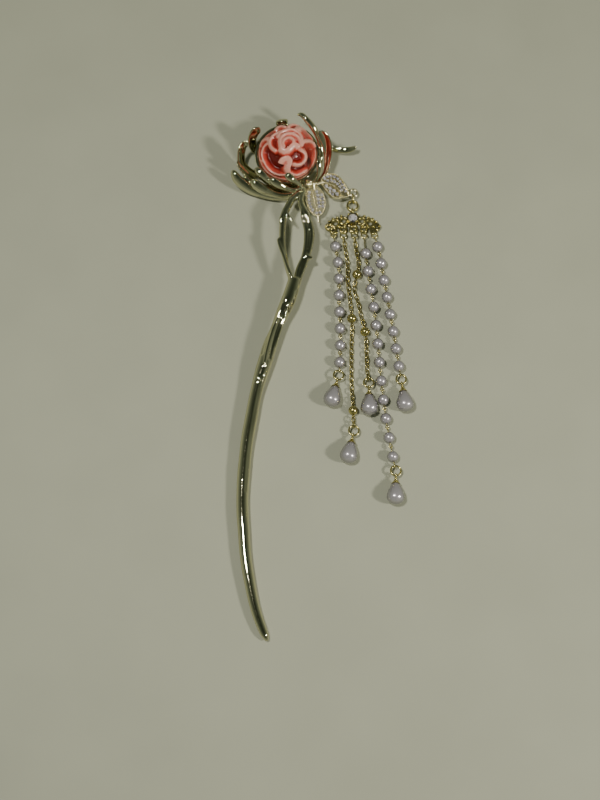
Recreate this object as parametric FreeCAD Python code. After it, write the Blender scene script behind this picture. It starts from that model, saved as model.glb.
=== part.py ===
import math
import os

import FreeCAD
import Part
from FreeCAD import Vector as V

# A step-shake hairpin lying on its back, in millimetres, +Z up.
# The origin is the middle of the flower cup's flat back. +Y runs from the point to the flower.

# Driving dimensions
ROSE_RADIUS = 10.6        # widest radius of the resin rose
ROSE_LEVEL = 6.0          # height of its widest level
ROSE_DOME = 8.4           # dome height above that level
ROSE_BELLY = 4.4          # depth of its underside below that level
ROSE_FLOOR = 1.9          # height of the rose's flat underside
ROSE_PLAY = 0.25          # glue gap between rose and bowl
CUP_BACK_RADIUS = 7.0     # flat back that lies on the table
KNOB = (5.2, -14.6, 6.0)  # middle of the calyx knob
KNOB_RADIUS = 1.9
SEAM = 0.06               # gap left at cemented joints
STONE_GAP = 0.14          # gap between neighbouring stones
PEARL_RADIUS = 1.98
HOLE_RADIUS = 0.32        # drilling of pearls and beads
PIN_WIRE = 0.17           # wire radius of the eye pins
EYE_RADIUS = 0.55         # ring radius of an eye, to the wire's middle
BEAD_RADIUS = 1.65        # round beads on the chains
CHAIN_WIRE = 0.20         # wire radius of the cable chain
LINK_HALF_WIDTH = 0.72    # half width of a link, to the wire's middle
END_RING_RADIUS = 1.72    # end rings, to the wire's middle
END_RING_WIRE = 0.32
DROP_RADIUS = 3.0
CONNECTOR_TOP = 1.9       # upper face of the pierced plate
CONNECTOR_BASE = 0.5      # its underside
CONNECTOR_STONE = 1.6     # radius of the connector's stone

os.makedirs("parts", exist_ok=True)


def save(name, shape):
    shape.exportStep("parts/" + name + ".step")


def unit(v):
    w = V(v)
    w.normalize()
    return w


def curve_through(points):
    """A smooth curve through a row of points."""
    curve = Part.BSplineCurve()
    curve.interpolate([V(*p) for p in points])
    return curve


def ellipse_wire(centre, wide, thick, a, b):
    """An ellipse about centre, with half axis a along wide and b along thick."""
    b = min(b, a * 0.999)
    arc = Part.Ellipse(centre + wide * a, centre + thick * b, centre)
    return Part.Wire([arc.toShape()])


def rod(points, sizes, outward, flat=1.0, steps=9):
    """A lofted rod along a smooth curve.

    sizes is a list of (share of the length, width). outward gives the side that the
    thickness faces, as a point that the rod turns its back to, or a fixed direction.
    """
    curve = curve_through(points)
    first, last = curve.FirstParameter, curve.LastParameter
    wires = []
    for i in range(steps):
        t = i / (steps - 1.0)
        # sections crowd a little towards the tip, where the width changes fastest
        t = 1.0 - (1.0 - t) ** 1.25
        at = first + (last - first) * t
        centre = curve.value(at)
        along = unit(curve.tangent(at)[0])
        if isinstance(outward, tuple):
            away = centre - V(*outward)
        else:
            away = V(outward)
        thick = unit(away - along * away.dot(along))
        wide = along.cross(thick)
        width = table_value(sizes, t)
        wires.append(ellipse_wire(centre, wide, thick, width / 2.0, width / 2.0 * flat))
    return Part.makeLoft(wires, True, False)


def table_value(rows, t):
    """Linear reading of a table of (position, value)."""
    if t <= rows[0][0]:
        return rows[0][1]
    for (t0, v0), (t1, v1) in zip(rows, rows[1:]):
        if t <= t1:
            return v0 + (v1 - v0) * (t - t0) / (t1 - t0)
    return rows[-1][1]


def ball(centre, radius):
    return Part.makeSphere(radius, V(*centre))


def wire_ring(centre, normal, radius, wire):
    return Part.makeTorus(radius, wire, V(centre), V(normal))


def fuse_all(shapes):
    whole = shapes[0]
    if len(shapes) > 1:
        whole = whole.multiFuse(shapes[1:])
    return whole


def biggest(shape):
    """The largest solid of a shape, without slivers."""
    return sorted(shape.Solids, key=lambda s: s.Volume)[-1]


# Twig-shaped pin
# columns: x, y, z of the middle, width across
SHANK = [
    (2.9, -48.6, 6.1, 4.7),
    (1.9, -52.2, 6.0, 4.9),
    (0.7, -55.9, 5.7, 5.1),
    (-0.5, -58.8, 5.4, 5.0),
    (-2.3, -62.9, 5.0, 4.3),
    (-3.8, -67.0, 4.6, 4.1),
    (-5.4, -71.3, 4.2, 4.8),
    (-7.3, -77.6, 3.7, 5.1),
    (-8.5, -81.6, 3.4, 5.0),
    (-10.1, -87.3, 3.0, 4.4),
    (-11.0, -91.4, 2.8, 4.3),
    (-12.1, -98.0, 2.6, 4.5),
    (-13.3, -104.9, 2.4, 4.5),
    (-14.1, -111.6, 2.3, 4.3),
    (-14.6, -118.3, 2.2, 4.4),
    (-14.9, -124.9, 2.1, 4.2),
    (-14.8, -131.4, 2.1, 4.2),
    (-14.3, -137.9, 2.05, 4.1),
    (-13.8, -144.5, 2.0, 4.0),
    (-12.9, -150.9, 1.92, 3.9),
    (-11.7, -157.3, 1.82, 3.7),
    (-10.2, -163.7, 1.7, 3.45),
    (-8.0, -170.0, 1.55, 3.1),
    (-6.7, -173.0, 1.35, 2.3),
    (-6.1, -174.2, 1.2, 0.9),
]
UP = V(0, 0, 1)


def shank():
    curve = curve_through([row[:3] for row in SHANK])
    wires = []
    for x, y, z, width in SHANK:
        centre = V(x, y, z)
        along = unit(curve.tangent(curve.parameter(centre))[0])
        thick = unit(UP - along * UP.dot(along))
        wide = along.cross(thick)
        wires.append(ellipse_wire(centre, wide, thick, width / 2.0, width / 2.0 * 0.96))
    return Part.makeLoft(wires, True, False)


FORK_LEFT = [(5.0, -15.5, 6.8), (3.6, -17.0, 7.1), (1.9, -18.9, 7.5), (0.5, -21.7, 7.7),
             (-1.2, -25.8, 7.7), (-1.5, -28.5, 7.6), (-1.7, -32.5, 7.5), (-1.5, -36.7, 7.3),
             (-0.7, -40.8, 7.1), (0.4, -45.5, 6.9), (1.5, -49.4, 6.9)]
FORK_RIGHT_TOP = [(6.0, -15.5, 6.9), (5.2, -17.4, 7.4), (4.9, -19.6, 7.7), (5.5, -22.2, 7.9),
                  (6.6, -24.3, 7.9), (7.5, -26.3, 7.8)]
FORK_RIGHT_INNER = [(5.5, -24.4, 8.0), (5.9, -27.0, 7.9), (6.6, -29.4, 7.8), (6.9, -32.5, 7.6),
                    (6.6, -37.1, 7.4), (5.6, -41.5, 7.1), (4.2, -44.8, 6.8), (3.4, -48.6, 6.3)]
FORK_RIGHT_OUTER = [(6.9, -24.6, 7.8), (8.3, -29.0, 7.6), (8.7, -32.5, 7.5), (8.3, -36.4, 7.3),
                    (7.4, -39.9, 7.1), (6.5, -42.6, 6.9), (5.2, -46.3, 6.5), (3.9, -50.0, 5.9)]
# columns: from x, y, z, to x, y, z, width at the foot, width at the end
THORNS = [
    (-1.3, -34.3, 7.4, -3.3, -34.2, 8.0, 1.9, 0.9),
    (-0.2, -24.0, 8.1, 1.8, -27.8, 8.8, 1.7, 0.6),
    (6.8, -40.6, 7.2, 9.0, -41.4, 7.7, 2.6, 1.1),
    (5.0, -20.8, 8.0, 5.9, -25.0, 8.7, 1.7, 0.8),
    (3.4, -50.6, 6.6, 1.2, -59.2, 6.6, 2.6, 1.0),
]


def thorn(x0, y0, z0, x1, y1, z1, foot, end):
    start, stop = V(x0, y0, z0), V(x1, y1, z1)
    cone = Part.makeCone(foot / 2.0, end / 2.0, (stop - start).Length, start, stop - start)
    return cone.fuse(Part.makeSphere(end / 2.0, stop))


def make_stick():
    bodies = [shank()]
    bodies.append(rod(FORK_LEFT, [(0, 2.0), (0.15, 2.5), (0.3, 2.7), (0.5, 2.3), (0.75, 2.0),
                                  (0.95, 1.9), (1, 1.3)], UP, 0.98, 13))
    bodies.append(rod(FORK_RIGHT_TOP, [(0, 2.2), (0.3, 2.2), (0.7, 2.6), (1, 2.4)], UP, 0.98, 7))
    bodies.append(rod(FORK_RIGHT_INNER, [(0, 1.5), (0.2, 2.0), (0.7, 1.9), (1, 2.2)], UP, 0.98))
    bodies.append(rod(FORK_RIGHT_OUTER, [(0, 2.0), (0.2, 2.2), (0.7, 2.0), (1, 2.0)], UP, 0.98))
    bodies += [thorn(*row) for row in THORNS]
    return fuse_all(bodies)


def seated(body, others):
    """body with a seam cut free along each of the others."""
    for other in others:
        body = body.cut(other)
    return biggest(body)


# Flower cup and claws
# each claw: name, outline width, thickness over width, height of the point on the rose's axis
# that its outer face turns away from, points from the calyx to the tip
CLAWS = [
    ("p1", 2.4, 0.95, 7.5, [(5.6, -13.4, 4.2), (9.4, -9.4, 2.6), (12.2, -2.6, 2.6),
                            (12.2, 3.0, 4.8), (10.8, 6.2, 7.4), (8.8, 8.8, 9.8),
                            (6.6, 11.0, 11.0), (4.8, 12.5, 11.1), (3.5, 12.6, 10.5)]),
    ("p2", 4.4, 0.40, 28.0, [(5.8, -13.9, 4.4), (10.0, -11.8, 3.9), (13.2, -8.2, 4.5),
                             (14.5, -2.9, 6.6), (14.3, 1.5, 8.7), (12.8, 4.5, 10.2),
                             (11.3, 6.1, 10.9)]),
    ("p3", 2.3, 0.80, -8.0, [(6.0, -14.0, 5.4), (8.9, -12.6, 5.2), (11.1, -10.0, 6.6),
                             (11.6, -7.0, 8.8), (10.9, -4.6, 10.4)]),
    ("p4", 2.8, 0.72, -8.0, [(5.4, -14.6, 7.0), (4.9, -14.2, 8.3), (3.5, -13.4, 9.6),
                             (1.5, -12.4, 10.8), (-0.6, -10.9, 11.6)]),
    ("p5", 3.1, 0.70, -8.0, [(4.6, -15.0, 6.0), (1.6, -15.1, 6.8), (-1.0, -14.6, 7.9),
                             (-3.7, -13.5, 9.0), (-6.1, -12.0, 9.9)]),
    ("p6", 2.9, 0.72, -8.0, [(4.6, -14.2, 4.9), (1.0, -14.2, 4.6), (-2.6, -13.6, 5.4),
                             (-6.1, -12.1, 7.0), (-9.4, -9.7, 9.2), (-11.4, -7.9, 9.9)]),
    ("p7", 3.3, 0.66, -10.0, [(4.4, -15.0, 4.9), (-0.6, -16.4, 4.7), (-5.3, -15.8, 5.5),
                              (-9.8, -14.1, 7.2), (-12.8, -12.1, 8.7)]),
    ("p8", 4.1, 0.62, -12.0, [(4.6, -14.8, 4.6), (0.6, -16.2, 3.2), (-4.9, -16.0, 2.5),
                              (-10.9, -14.3, 2.9), (-15.5, -11.9, 4.0), (-18.2, -9.7, 5.4),
                              (-19.5, -7.4, 7.2)]),
    ("p9", 4.8, 0.42, 24.0, [(4.4, -12.4, 3.6), (0.0, -11.0, 2.0), (-6.2, -8.4, 1.5),
                             (-13.0, -6.0, 2.2), (-16.0, -4.2, 4.6), (-16.5, -2.2, 6.8),
                             (-16.2, -0.5, 8.6), (-15.3, 1.0, 10.0), (-14.0, 1.8, 10.5)]),
    ("p10", 4.0, 0.45, 20.0, [(4.5, -13.6, 4.4), (0.6, -13.2, 3.0), (-5.6, -12.2, 2.4),
                              (-11.3, -10.4, 3.6), (-14.6, -7.9, 5.3), (-16.8, -6.1, 7.3),
                              (-18.0, -4.8, 8.9)]),
    ("p11", 4.4, 0.50, 24.0, [(-2.0, -6.0, 0.9), (-7.4, -1.0, 0.9), (-11.7, 2.8, 2.3),
                              (-12.6, 4.2, 5.0), (-12.3, 5.4, 7.6), (-11.2, 6.5, 9.8),
                              (-9.8, 7.3, 11.0)]),
    ("p12", 4.6, 0.30, 7.5, [(0.0, 0.0, 1.2), (-1.2, 6.6, 1.5), (-2.0, 11.2, 3.2),
                             (-2.0, 12.2, 5.8), (-1.9, 11.6, 8.0), (-1.7, 10.5, 9.3)]),
    ("p13", 5.0, 0.34, 30.0, [(3.0, -14.2, 3.9), (-3.5, -14.0, 3.6), (-9.5, -12.4, 3.4),
                              (-13.2, -10.0, 3.9), (-15.4, -7.9, 4.8)]),
    ("p14", 2.4, 0.70, 7.5, [(5.0, 0.0, 1.4), (9.6, 2.2, 1.5), (13.0, 3.0, 1.9),
                             (16.2, 2.9, 2.3), (19.3, 2.5, 2.6), (22.6, 2.4, 3.3),
                             (25.2, 2.8, 5.0)]),
]
CLAW_OUTLINE = [(0, 0.5), (0.25, 0.56), (0.5, 0.72), (0.68, 0.95), (0.8, 1.0), (0.9, 0.93),
                (0.96, 0.7), (0.99, 0.42), (1, 0.16)]


def cup_bowl():
    """The bowl: flat back, rounded wall, and the hollow that the rose sits in."""
    profile = [V(0, 0, 0), V(CUP_BACK_RADIUS, 0, 0), V(9.6, 0, 1.3), V(11.2, 0, 3.2),
               V(11.9, 0, 5.0)]
    for polar in (102.0, 112.0, 122.0, 132.0, 142.0, 152.0, 160.0):
        r = (ROSE_RADIUS + ROSE_PLAY) * math.sin(math.radians(polar))
        z = ROSE_LEVEL + (ROSE_BELLY + ROSE_PLAY) * math.cos(math.radians(polar))
        profile.append(V(r, 0, z))
    profile.append(V(0, 0, ROSE_FLOOR - ROSE_PLAY))
    face = Part.Face(Part.makePolygon(profile + [profile[0]]))
    return face.revolve(V(0, 0, 0), V(0, 0, 1), 360)


def claw(name, width, flat, level, points, seam=0.0):
    """One spoon-shaped claw, grown by a seam."""
    grown = width + 2.0 * seam
    flat = (width * flat + 2.0 * seam) / grown
    sizes = [(t, grown * share) for t, share in CLAW_OUTLINE]
    return rod(points, sizes, (0.0, 0.0, level), flat, 12)


def calyx(names):
    """The knob and the named claws, a seam larger than they are."""
    rows = [row for row in CLAWS if row[0] in names]
    return [ball(KNOB, KNOB_RADIUS + SEAM)] + [claw(*row, seam=2.0 * SEAM) for row in rows]


def make_petal_cup():
    bodies = [cup_bowl(), ball(KNOB, KNOB_RADIUS)]
    neck = rod([(3.2, -7.6, 1.65), (4.4, -11.2, 3.1), (5.1, -14.0, 5.2)],
               [(0, 4.8), (0.5, 4.4), (1, 3.2)], UP, 0.55, 5)
    bodies.append(neck)
    bodies += [claw(*row) for row in CLAWS]
    return fuse_all(bodies)


# Rose
# each petal rim: lift over the dome, depth of the hollow inside it, width of that step,
# depth outside it, reach outside it, then x, y of points along the rim (bud side on the left)
ROSE_RIMS = [
    (0.5, 1.6, 0.5, 1.0, 1.2, [(1.9, -0.5), (2.0, 0.9), (0.8, 1.6), (-0.5, 1.1), (-1.2, 0.0),
                               (-0.8, -1.5)]),
    (0.4, 2.0, 0.6, 1.4, 1.8, [(4.7, -0.6), (4.4, 1.2), (3.2, 2.8), (1.4, 3.5), (-0.4, 3.2),
                               (-1.9, 1.8), (-2.2, 0.0), (-1.9, -1.8)]),
    (0.4, 2.0, 0.6, 2.0, 3.2, [(-2.0, -1.7), (-0.8, -2.6), (0.3, -2.1), (1.4, -0.9), (2.5, -0.2),
                               (3.7, -0.4), (4.6, -1.1)]),
    (0.2, 1.6, 0.6, 1.8, 2.4, [(5.7, 0.1), (5.1, 1.8), (4.7, 3.5), (3.4, 5.0), (1.6, 5.7),
                               (-0.4, 5.3), (-2.2, 4.1), (-3.1, 2.2)]),
    (0.1, 1.8, 0.8, 2.0, 2.4, [(-2.2, 4.7), (-4.1, 3.9), (-5.6, 2.7), (-6.2, 1.0), (-5.6, -1.2),
                               (-4.0, -2.6)]),
    (0.1, 2.4, 0.8, 2.2, 4.5, [(-3.1, -6.8), (-2.2, -5.7), (-0.8, -5.2), (0.7, -5.2),
                               (1.7, -6.2), (1.6, -7.5), (1.0, -8.7), (1.2, -9.7)]),
    (0.1, 2.4, 0.8, 2.0, 2.8, [(2.5, -7.2), (4.4, -7.1), (5.9, -6.1), (6.6, -4.8), (6.2, -3.5),
                               (4.8, -2.9)]),
    (0.2, 1.6, 0.7, 2.4, 2.8, [(10.3, 1.5), (9.4, 2.1), (7.8, 1.5), (6.2, 0.5), (5.6, -0.9)]),
    (0.2, 1.0, 2.6, 2.0, 2.4, [(9.3, 5.3), (8.6, 6.4), (7.0, 8.1), (5.0, 8.4), (3.8, 6.0)]),
    (0.3, 1.8, 0.8, 2.0, 2.0, [(4.2, 6.5), (4.2, 9.2), (2.9, 9.6), (1.4, 8.5), (0.7, 6.9)]),
    (0.0, 1.0, 2.0, 2.0, 2.4, [(-0.7, 7.3), (-2.0, 8.1), (-3.4, 7.8), (-4.1, 6.0)]),
    (-0.1, 1.2, 2.0, 2.0, 2.4, [(-6.8, 1.7), (-7.7, 2.9), (-8.9, 3.1), (-9.7, 2.4),
                                (-10.1, 1.1)]),
    (0.0, 2.6, 0.9, 2.2, 2.6, [(-7.0, 0.4), (-8.4, -0.3), (-9.2, -1.7), (-9.0, -3.7),
                               (-8.1, -5.9), (-6.6, -7.9), (-4.5, -9.3), (-2.2, -10.0),
                               (-0.4, -10.1)]),
    (0.0, 2.4, 0.9, 2.0, 2.4, [(1.2, -9.7), (2.8, -9.9), (4.6, -9.4), (6.2, -8.4), (7.3, -7.5)]),
]
ROSE_DEEPEST = 2.6
ROSE_RINGS = 34
ROSE_END = 159.0          # polar angle of the edge of the flat underside
ROSE_SPOKES = 60


def on_ball(x, y):
    """The point of the unit ball above x, y of the rose."""
    u, v = x / ROSE_RADIUS, y / ROSE_RADIUS
    return V(u, v, math.sqrt(max(0.0, 1.0 - u * u - v * v)))


RIMS_ON_BALL = [(row[:5], [on_ball(x, y) for x, y in row[5]]) for row in ROSE_RIMS]


def rim_distance(n, points):
    """Signed distance from n to a rim, in millimetres, plus towards the outside."""
    best, side, beyond = 1e9, 1.0, 0.0
    last = len(points) - 2
    for i in range(last + 1):
        a, b = points[i], points[i + 1]
        ab, an = b - a, n - a
        t = an.dot(ab) / ab.dot(ab)
        cut = min(1.0, max(0.0, t))
        gap = (n - (a + ab * cut)).Length * ROSE_RADIUS
        if gap < best:
            best = gap
            side = -1.0 if ab.cross(an).dot(n) > 0 else 1.0
            past = (i == 0 and t < 0) or (i == last and t > 1)
            beyond = abs(t - cut) * ab.Length * ROSE_RADIUS if past else 0.0
    return best * side, beyond


def rose_relief(n):
    """Height of the petals over the dome in direction n."""
    high = -ROSE_DEEPEST
    for (lift, inside, step, outside, reach), points in RIMS_ON_BALL:
        s, beyond = rim_distance(n, points)
        if s > 0:
            down = outside * (1.0 - math.cos(min(s / reach, 1.0) * math.pi / 2.0))
            down += max(0.0, s - reach) * 0.9
        else:
            q = min(-s / step, 1.0)
            down = inside * q * q * (3.0 - 2.0 * q) + max(0.0, -s - step) * 0.25
        high = max(high, lift - down - beyond * 1.1)
    return high


def rose_point(polar, turn):
    """A point of the rose's skin: polar angle from the top, turn about the axis."""
    n = V(math.sin(polar) * math.cos(turn), math.sin(polar) * math.sin(turn), math.cos(polar))
    if n.z > -0.2:
        relief = rose_relief(n) * min(1.0, (n.z + 0.2) / 0.5)
    else:
        relief = 0.0
    scale = 1.0 + relief / ROSE_RADIUS
    x, y = n.x * ROSE_RADIUS * scale, n.y * ROSE_RADIUS * scale
    if n.z >= 0:
        z = ROSE_LEVEL + ROSE_DOME * n.z * scale
    else:
        z = ROSE_LEVEL + ROSE_BELLY * n.z * scale
    return V(x, y, max(z, ROSE_FLOOR))


def make_rose():
    rings = []
    top = rose_point(0.0, 0.0)
    for i in range(1, ROSE_RINGS + 1):
        polar = math.radians(ROSE_END) * i / ROSE_RINGS
        ring = []
        for j in range(ROSE_SPOKES):
            ring.append(rose_point(polar, 2.0 * math.pi * j / ROSE_SPOKES))
        rings.append(ring)
    faces = []

    def facet(a, b, c):
        if (b - a).cross(c - a).Length > 1e-7:
            faces.append(Part.Face(Part.makePolygon([a, b, c, a])))

    for j in range(ROSE_SPOKES):
        k = (j + 1) % ROSE_SPOKES
        facet(top, rings[0][j], rings[0][k])
        for low, high in zip(rings[1:], rings):
            facet(high[j], low[j], low[k])
            facet(high[j], low[k], high[k])
    rim = rings[-1]
    faces.append(Part.Face(Part.makePolygon([V(p.x, p.y, ROSE_FLOOR) for p in rim] +
                                            [V(rim[0].x, rim[0].y, ROSE_FLOOR)])))
    solid = Part.Solid(Part.Shell(faces))
    if solid.Volume < 0:
        solid.reverse()
    return solid


# Stones
def cut_stone(radius, sides=8):
    """A cut stone with its girdle at z = 0: flat table, crown facets and pointed back."""
    crown, back, table = radius * 0.36, radius * 0.78, radius * 0.58
    ring = []
    top = []
    for i in range(sides):
        a = 2.0 * math.pi * i / sides
        ring.append(V(radius * math.cos(a), radius * math.sin(a), 0))
        top.append(V(table * math.cos(a), table * math.sin(a), crown))
    foot = V(0, 0, -back)
    faces = [Part.Face(Part.makePolygon(top + [top[0]]))]
    for i in range(sides):
        j = (i + 1) % sides
        faces.append(Part.Face(Part.makePolygon([ring[i], ring[j], top[j], top[i], ring[i]])))
        faces.append(Part.Face(Part.makePolygon([ring[j], ring[i], foot, ring[j]])))
    solid = Part.Solid(Part.Shell(faces))
    if solid.Volume < 0:
        solid.reverse()
    return solid


def placed(shape, origin, x_axis, z_axis):
    """A copy of shape, its own x and z turned onto the given axes, moved to origin."""
    x, z = unit(x_axis), unit(z_axis)
    y = z.cross(x)
    m = FreeCAD.Matrix(x.x, y.x, z.x, origin.x, x.y, y.y, z.y, origin.y,
                       x.z, y.z, z.z, origin.z, 0, 0, 0, 1)
    copy = shape.copy()
    copy.Placement = FreeCAD.Placement(m)
    return copy


# Leaves. A leaf is a thin tray in a sloping plane, from a base point to a tip point.
# Outlines, midribs and stone rows are given by x and y and lifted onto that plane.
LEAF_THICK = 1.25
LEAF_RIM = 0.35
LEAF_POCKET = 0.7
LEAVES = {
    "right": {
        "base": (12.0, -11.4, 6.6), "tip": (22.5, -15.6, 3.0),
        "outline": [(12.0, -10.9), (13.5, -8.8), (15.8, -8.0), (17.6, -8.2), (19.2, -9.2),
                    (20.5, -10.8), (21.5, -12.5), (22.2, -14.0), (22.6, -15.4), (21.2, -16.3),
                    (19.6, -16.8), (18.0, -17.1), (16.5, -16.8), (15.2, -16.0), (14.1, -14.9),
                    (13.1, -13.6), (12.2, -12.3)],
        "midrib": [(12.6, -11.7), (14.2, -12.0), (16.2, -12.5), (17.8, -13.5), (19.0, -14.8),
                   (19.7, -16.2)],
        # rows: stone radius, first and last point by way of the ones between
        "rows": [(0.60, [(13.4, -10.2), (15.2, -9.2), (17.0, -9.2), (18.6, -10.2), (19.9, -11.9),
                         (20.9, -13.7), (21.5, -15.1)]),
                 (0.60, [(14.5, -11.0), (15.8, -10.7), (17.2, -11.1), (18.6, -12.2),
                         (19.45, -13.6), (19.9, -14.8)]),
                 (0.74, [(14.05, -13.1), (15.35, -13.75), (16.6, -14.2), (17.7, -15.3),
                         (18.6, -16.0)]),
                 (0.52, [(15.4, -15.0), (16.4, -15.8)])],
    },
    "down": {
        "base": (9.6, -13.4, 6.9), "tip": (10.9, -23.8, 3.3),
        "outline": [(10.5, -13.5), (8.8, -13.8), (7.5, -14.6), (6.7, -16.0), (6.6, -17.8),
                    (6.9, -19.5), (7.6, -21.4), (8.7, -22.8), (10.1, -23.6), (11.4, -23.6),
                    (12.8, -22.6), (13.5, -21.0), (13.9, -18.9), (13.5, -17.3), (13.1, -16.0),
                    (12.3, -14.8)],
        "midrib": [(9.1, -14.9), (9.3, -16.8), (9.7, -18.6), (10.2, -20.4), (10.6, -21.6)],
        "rows": [(0.58, [(8.0, -15.75), (7.75, -17.1), (7.9, -18.9), (8.5, -20.6), (9.3, -21.9)]),
                 (0.60, [(10.5, -15.4), (11.0, -16.8), (11.2, -18.3), (11.4, -20.0),
                         (11.5, -21.6)]),
                 (0.60, [(12.3, -16.5), (12.6, -17.8), (12.8, -19.3), (12.6, -20.8)]),
                 (0.56, [(10.5, -22.6), (11.8, -22.4)])],
    },
}
LEAF_STEM_END = (11.3, -25.6, 2.5)
# stems from the calyx to the leaves: x, y, z of both ends, width at the foot and at the end
LEAF_STEMS = [(7.2, -13.3, 7.7, 9.4, -12.8, 7.2, 1.5, 1.3),
              (9.4, -12.8, 7.2, 12.9, -11.8, 5.9, 1.3, 1.0),
              (9.4, -12.8, 7.2, 9.5, -14.6, 6.4, 1.3, 1.1)]
# granules at the root: x, y, z, radius
GRANULES = [(7.3, -12.5, 8.3, 0.75), (8.4, -12.5, 8.2, 0.6), (7.9, -14.0, 7.2, 0.5),
            (10.8, -12.9, 7.3, 0.55), (9.4, -13.0, 7.9, 0.5)]
CAST_LOOP = (23.8, -14.2, 2.4)
CAST_LOOP_RADIUS = 1.35
CAST_LOOP_WIRE = 0.36


def leaf_axes(leaf):
    base, tip = V(*leaf["base"]), V(*leaf["tip"])
    along = unit(tip - base)
    normal = unit(UP - along * UP.dot(along))
    return base, along, normal


def onto_leaf(leaf, x, y, lift=0.0):
    base, along, normal = leaf_axes(leaf)
    z = base.z - (normal.x * (x - base.x) + normal.y * (y - base.y)) / normal.z
    return V(x, y, z) + normal * lift


def closed_face(points):
    curve = Part.BSplineCurve()
    curve.interpolate(Points=points, PeriodicFlag=True)
    return Part.Face(Part.Wire([curve.toShape()]))


def leaf_tray(leaf):
    """Plate with a sunk floor, a rim and a raised midrib. Its rim is at lift 0."""
    base, along, normal = leaf_axes(leaf)
    face = closed_face([onto_leaf(leaf, x, y, -LEAF_THICK) for x, y in leaf["outline"]])
    plate = face.extrude(normal * LEAF_THICK)
    middle = face.CenterOfMass
    inner = []
    for x, y in leaf["outline"]:
        p = onto_leaf(leaf, x, y, -LEAF_POCKET)
        towards = unit(middle - p)
        inner.append(p + (towards - normal * towards.dot(normal)) * LEAF_RIM)
    pocket = closed_face(inner).extrude(normal * (LEAF_POCKET + 1.0))
    tray = plate.cut(pocket)
    rib = rod([tuple(onto_leaf(leaf, x, y, -0.25)) for x, y in leaf["midrib"]],
              [(0, 0.7), (0.5, 0.62), (1, 0.4)], UP, 0.98, 7)
    return tray.fuse(rib)


def walk(curve, step, start=0.0):
    """Points at equal chords along a curve, from its start."""
    first, last = curve.FirstParameter, curve.LastParameter
    at = first if not start else curve.parameterAtDistance(start, first)
    points = [curve.value(at)]
    while True:
        if (curve.value(last) - points[-1]).Length < step:
            return points
        guess = curve.parameterAtDistance(step, at)
        for _ in range(12):
            here = (curve.value(guess) - points[-1]).Length
            guess += (step - here) * (curve.parameterAtDistance(0.01, guess) - guess) / 0.01
        at = guess
        points.append(curve.value(at))


def leaf_stones(leaf):
    base, along, normal = leaf_axes(leaf)
    stones = []
    for radius, points in leaf["rows"]:
        curve = curve_through([tuple(onto_leaf(leaf, x, y, -0.05)) for x, y in points])
        for p in walk(curve, 2.0 * radius + STONE_GAP):
            stones.append(placed(cut_stone(radius * 0.97), p, along, normal))
    return Part.makeCompound(stones)


def make_leaf_sprig():
    bodies = [leaf_tray(leaf) for leaf in LEAVES.values()]
    bodies += [thorn(*row) for row in LEAF_STEMS]
    bodies.append(ball(LEAF_STEMS[0][:3], LEAF_STEMS[0][6] / 2.0))
    tail = onto_leaf(LEAVES["down"], 11.0, -23.4, -0.6)
    bodies.append(thorn(tail.x, tail.y, tail.z, *LEAF_STEM_END, 1.1, 0.55))
    for x, y, z, radius in GRANULES:
        bodies.append(ball((x, y, z), radius))
    bodies.append(wire_ring(V(*CAST_LOOP), V(0.06, 0.0, 1.0), CAST_LOOP_RADIUS, CAST_LOOP_WIRE))
    return fuse_all(bodies)


# Jump rings and connector
UPPER_RING = (23.72, -16.4, 2.2)
UPPER_RING_RADIUS = 1.7
UPPER_RING_WIRE = 0.28
LOWER_RING = (23.5, -19.0, 1.75)
LOWER_RING_RADIUS = 1.85
LOWER_RING_WIRE = 0.40
BEZEL = (23.5, -24.0)
BEZEL_OUTER = 2.15
TOP_LOOP = (23.5, -21.35, 1.65)
TOP_LOOP_RADIUS = 1.3
# pierced lobes: x, y, radius, radius of the opening
LOBES = [
    (20.2, -24.7, 1.75, 0.75), (17.3, -25.6, 2.0, 0.8), (15.0, -26.9, 1.4, 0.5),
    (26.8, -24.7, 1.75, 0.75), (29.7, -25.6, 2.0, 0.8), (32.0, -26.9, 1.4, 0.5),
    (16.5, -28.4, 1.35, 0.5), (20.1, -27.9, 1.5, 0.55), (23.8, -27.7, 1.6, 0.6),
    (27.4, -27.9, 1.5, 0.55), (30.9, -28.4, 1.35, 0.5),
]
LOOP_WIRE = 0.25
# lower loops: strand, x, y, ring radius
LOOPS = {
    1: (16.6, -30.3, 0.85), 2: (20.1, -30.3, 1.08), 3: (24.1, -30.4, 1.08),
    4: (27.5, -30.4, 1.0), 5: (31.2, -30.4, 1.0),
}
LOOP_LEVEL = 1.7
# granules: x, y, radius
CONNECTOR_GRANULES = [
    (19.4, -22.9, 0.5), (18.0, -23.5, 0.5), (16.4, -24.0, 0.5), (15.1, -25.2, 0.55),
    (14.0, -26.9, 0.5), (14.9, -28.0, 0.45), (16.0, -26.9, 0.45), (18.6, -26.9, 0.55),
    (20.8, -26.4, 0.5), (22.1, -26.6, 0.45), (23.8, -26.5, 0.5), (17.6, -29.3, 0.45),
    (22.5, -28.7, 0.45), (24.9, -28.8, 0.45), (25.4, -26.4, 0.45), (26.9, -26.3, 0.5),
    (28.9, -27.1, 0.55), (31.0, -26.9, 0.45), (32.2, -28.1, 0.45), (33.1, -26.7, 0.5),
    (31.9, -25.1, 0.55), (30.6, -24.0, 0.5), (29.2, -23.5, 0.5), (27.7, -22.9, 0.5),
]


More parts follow.
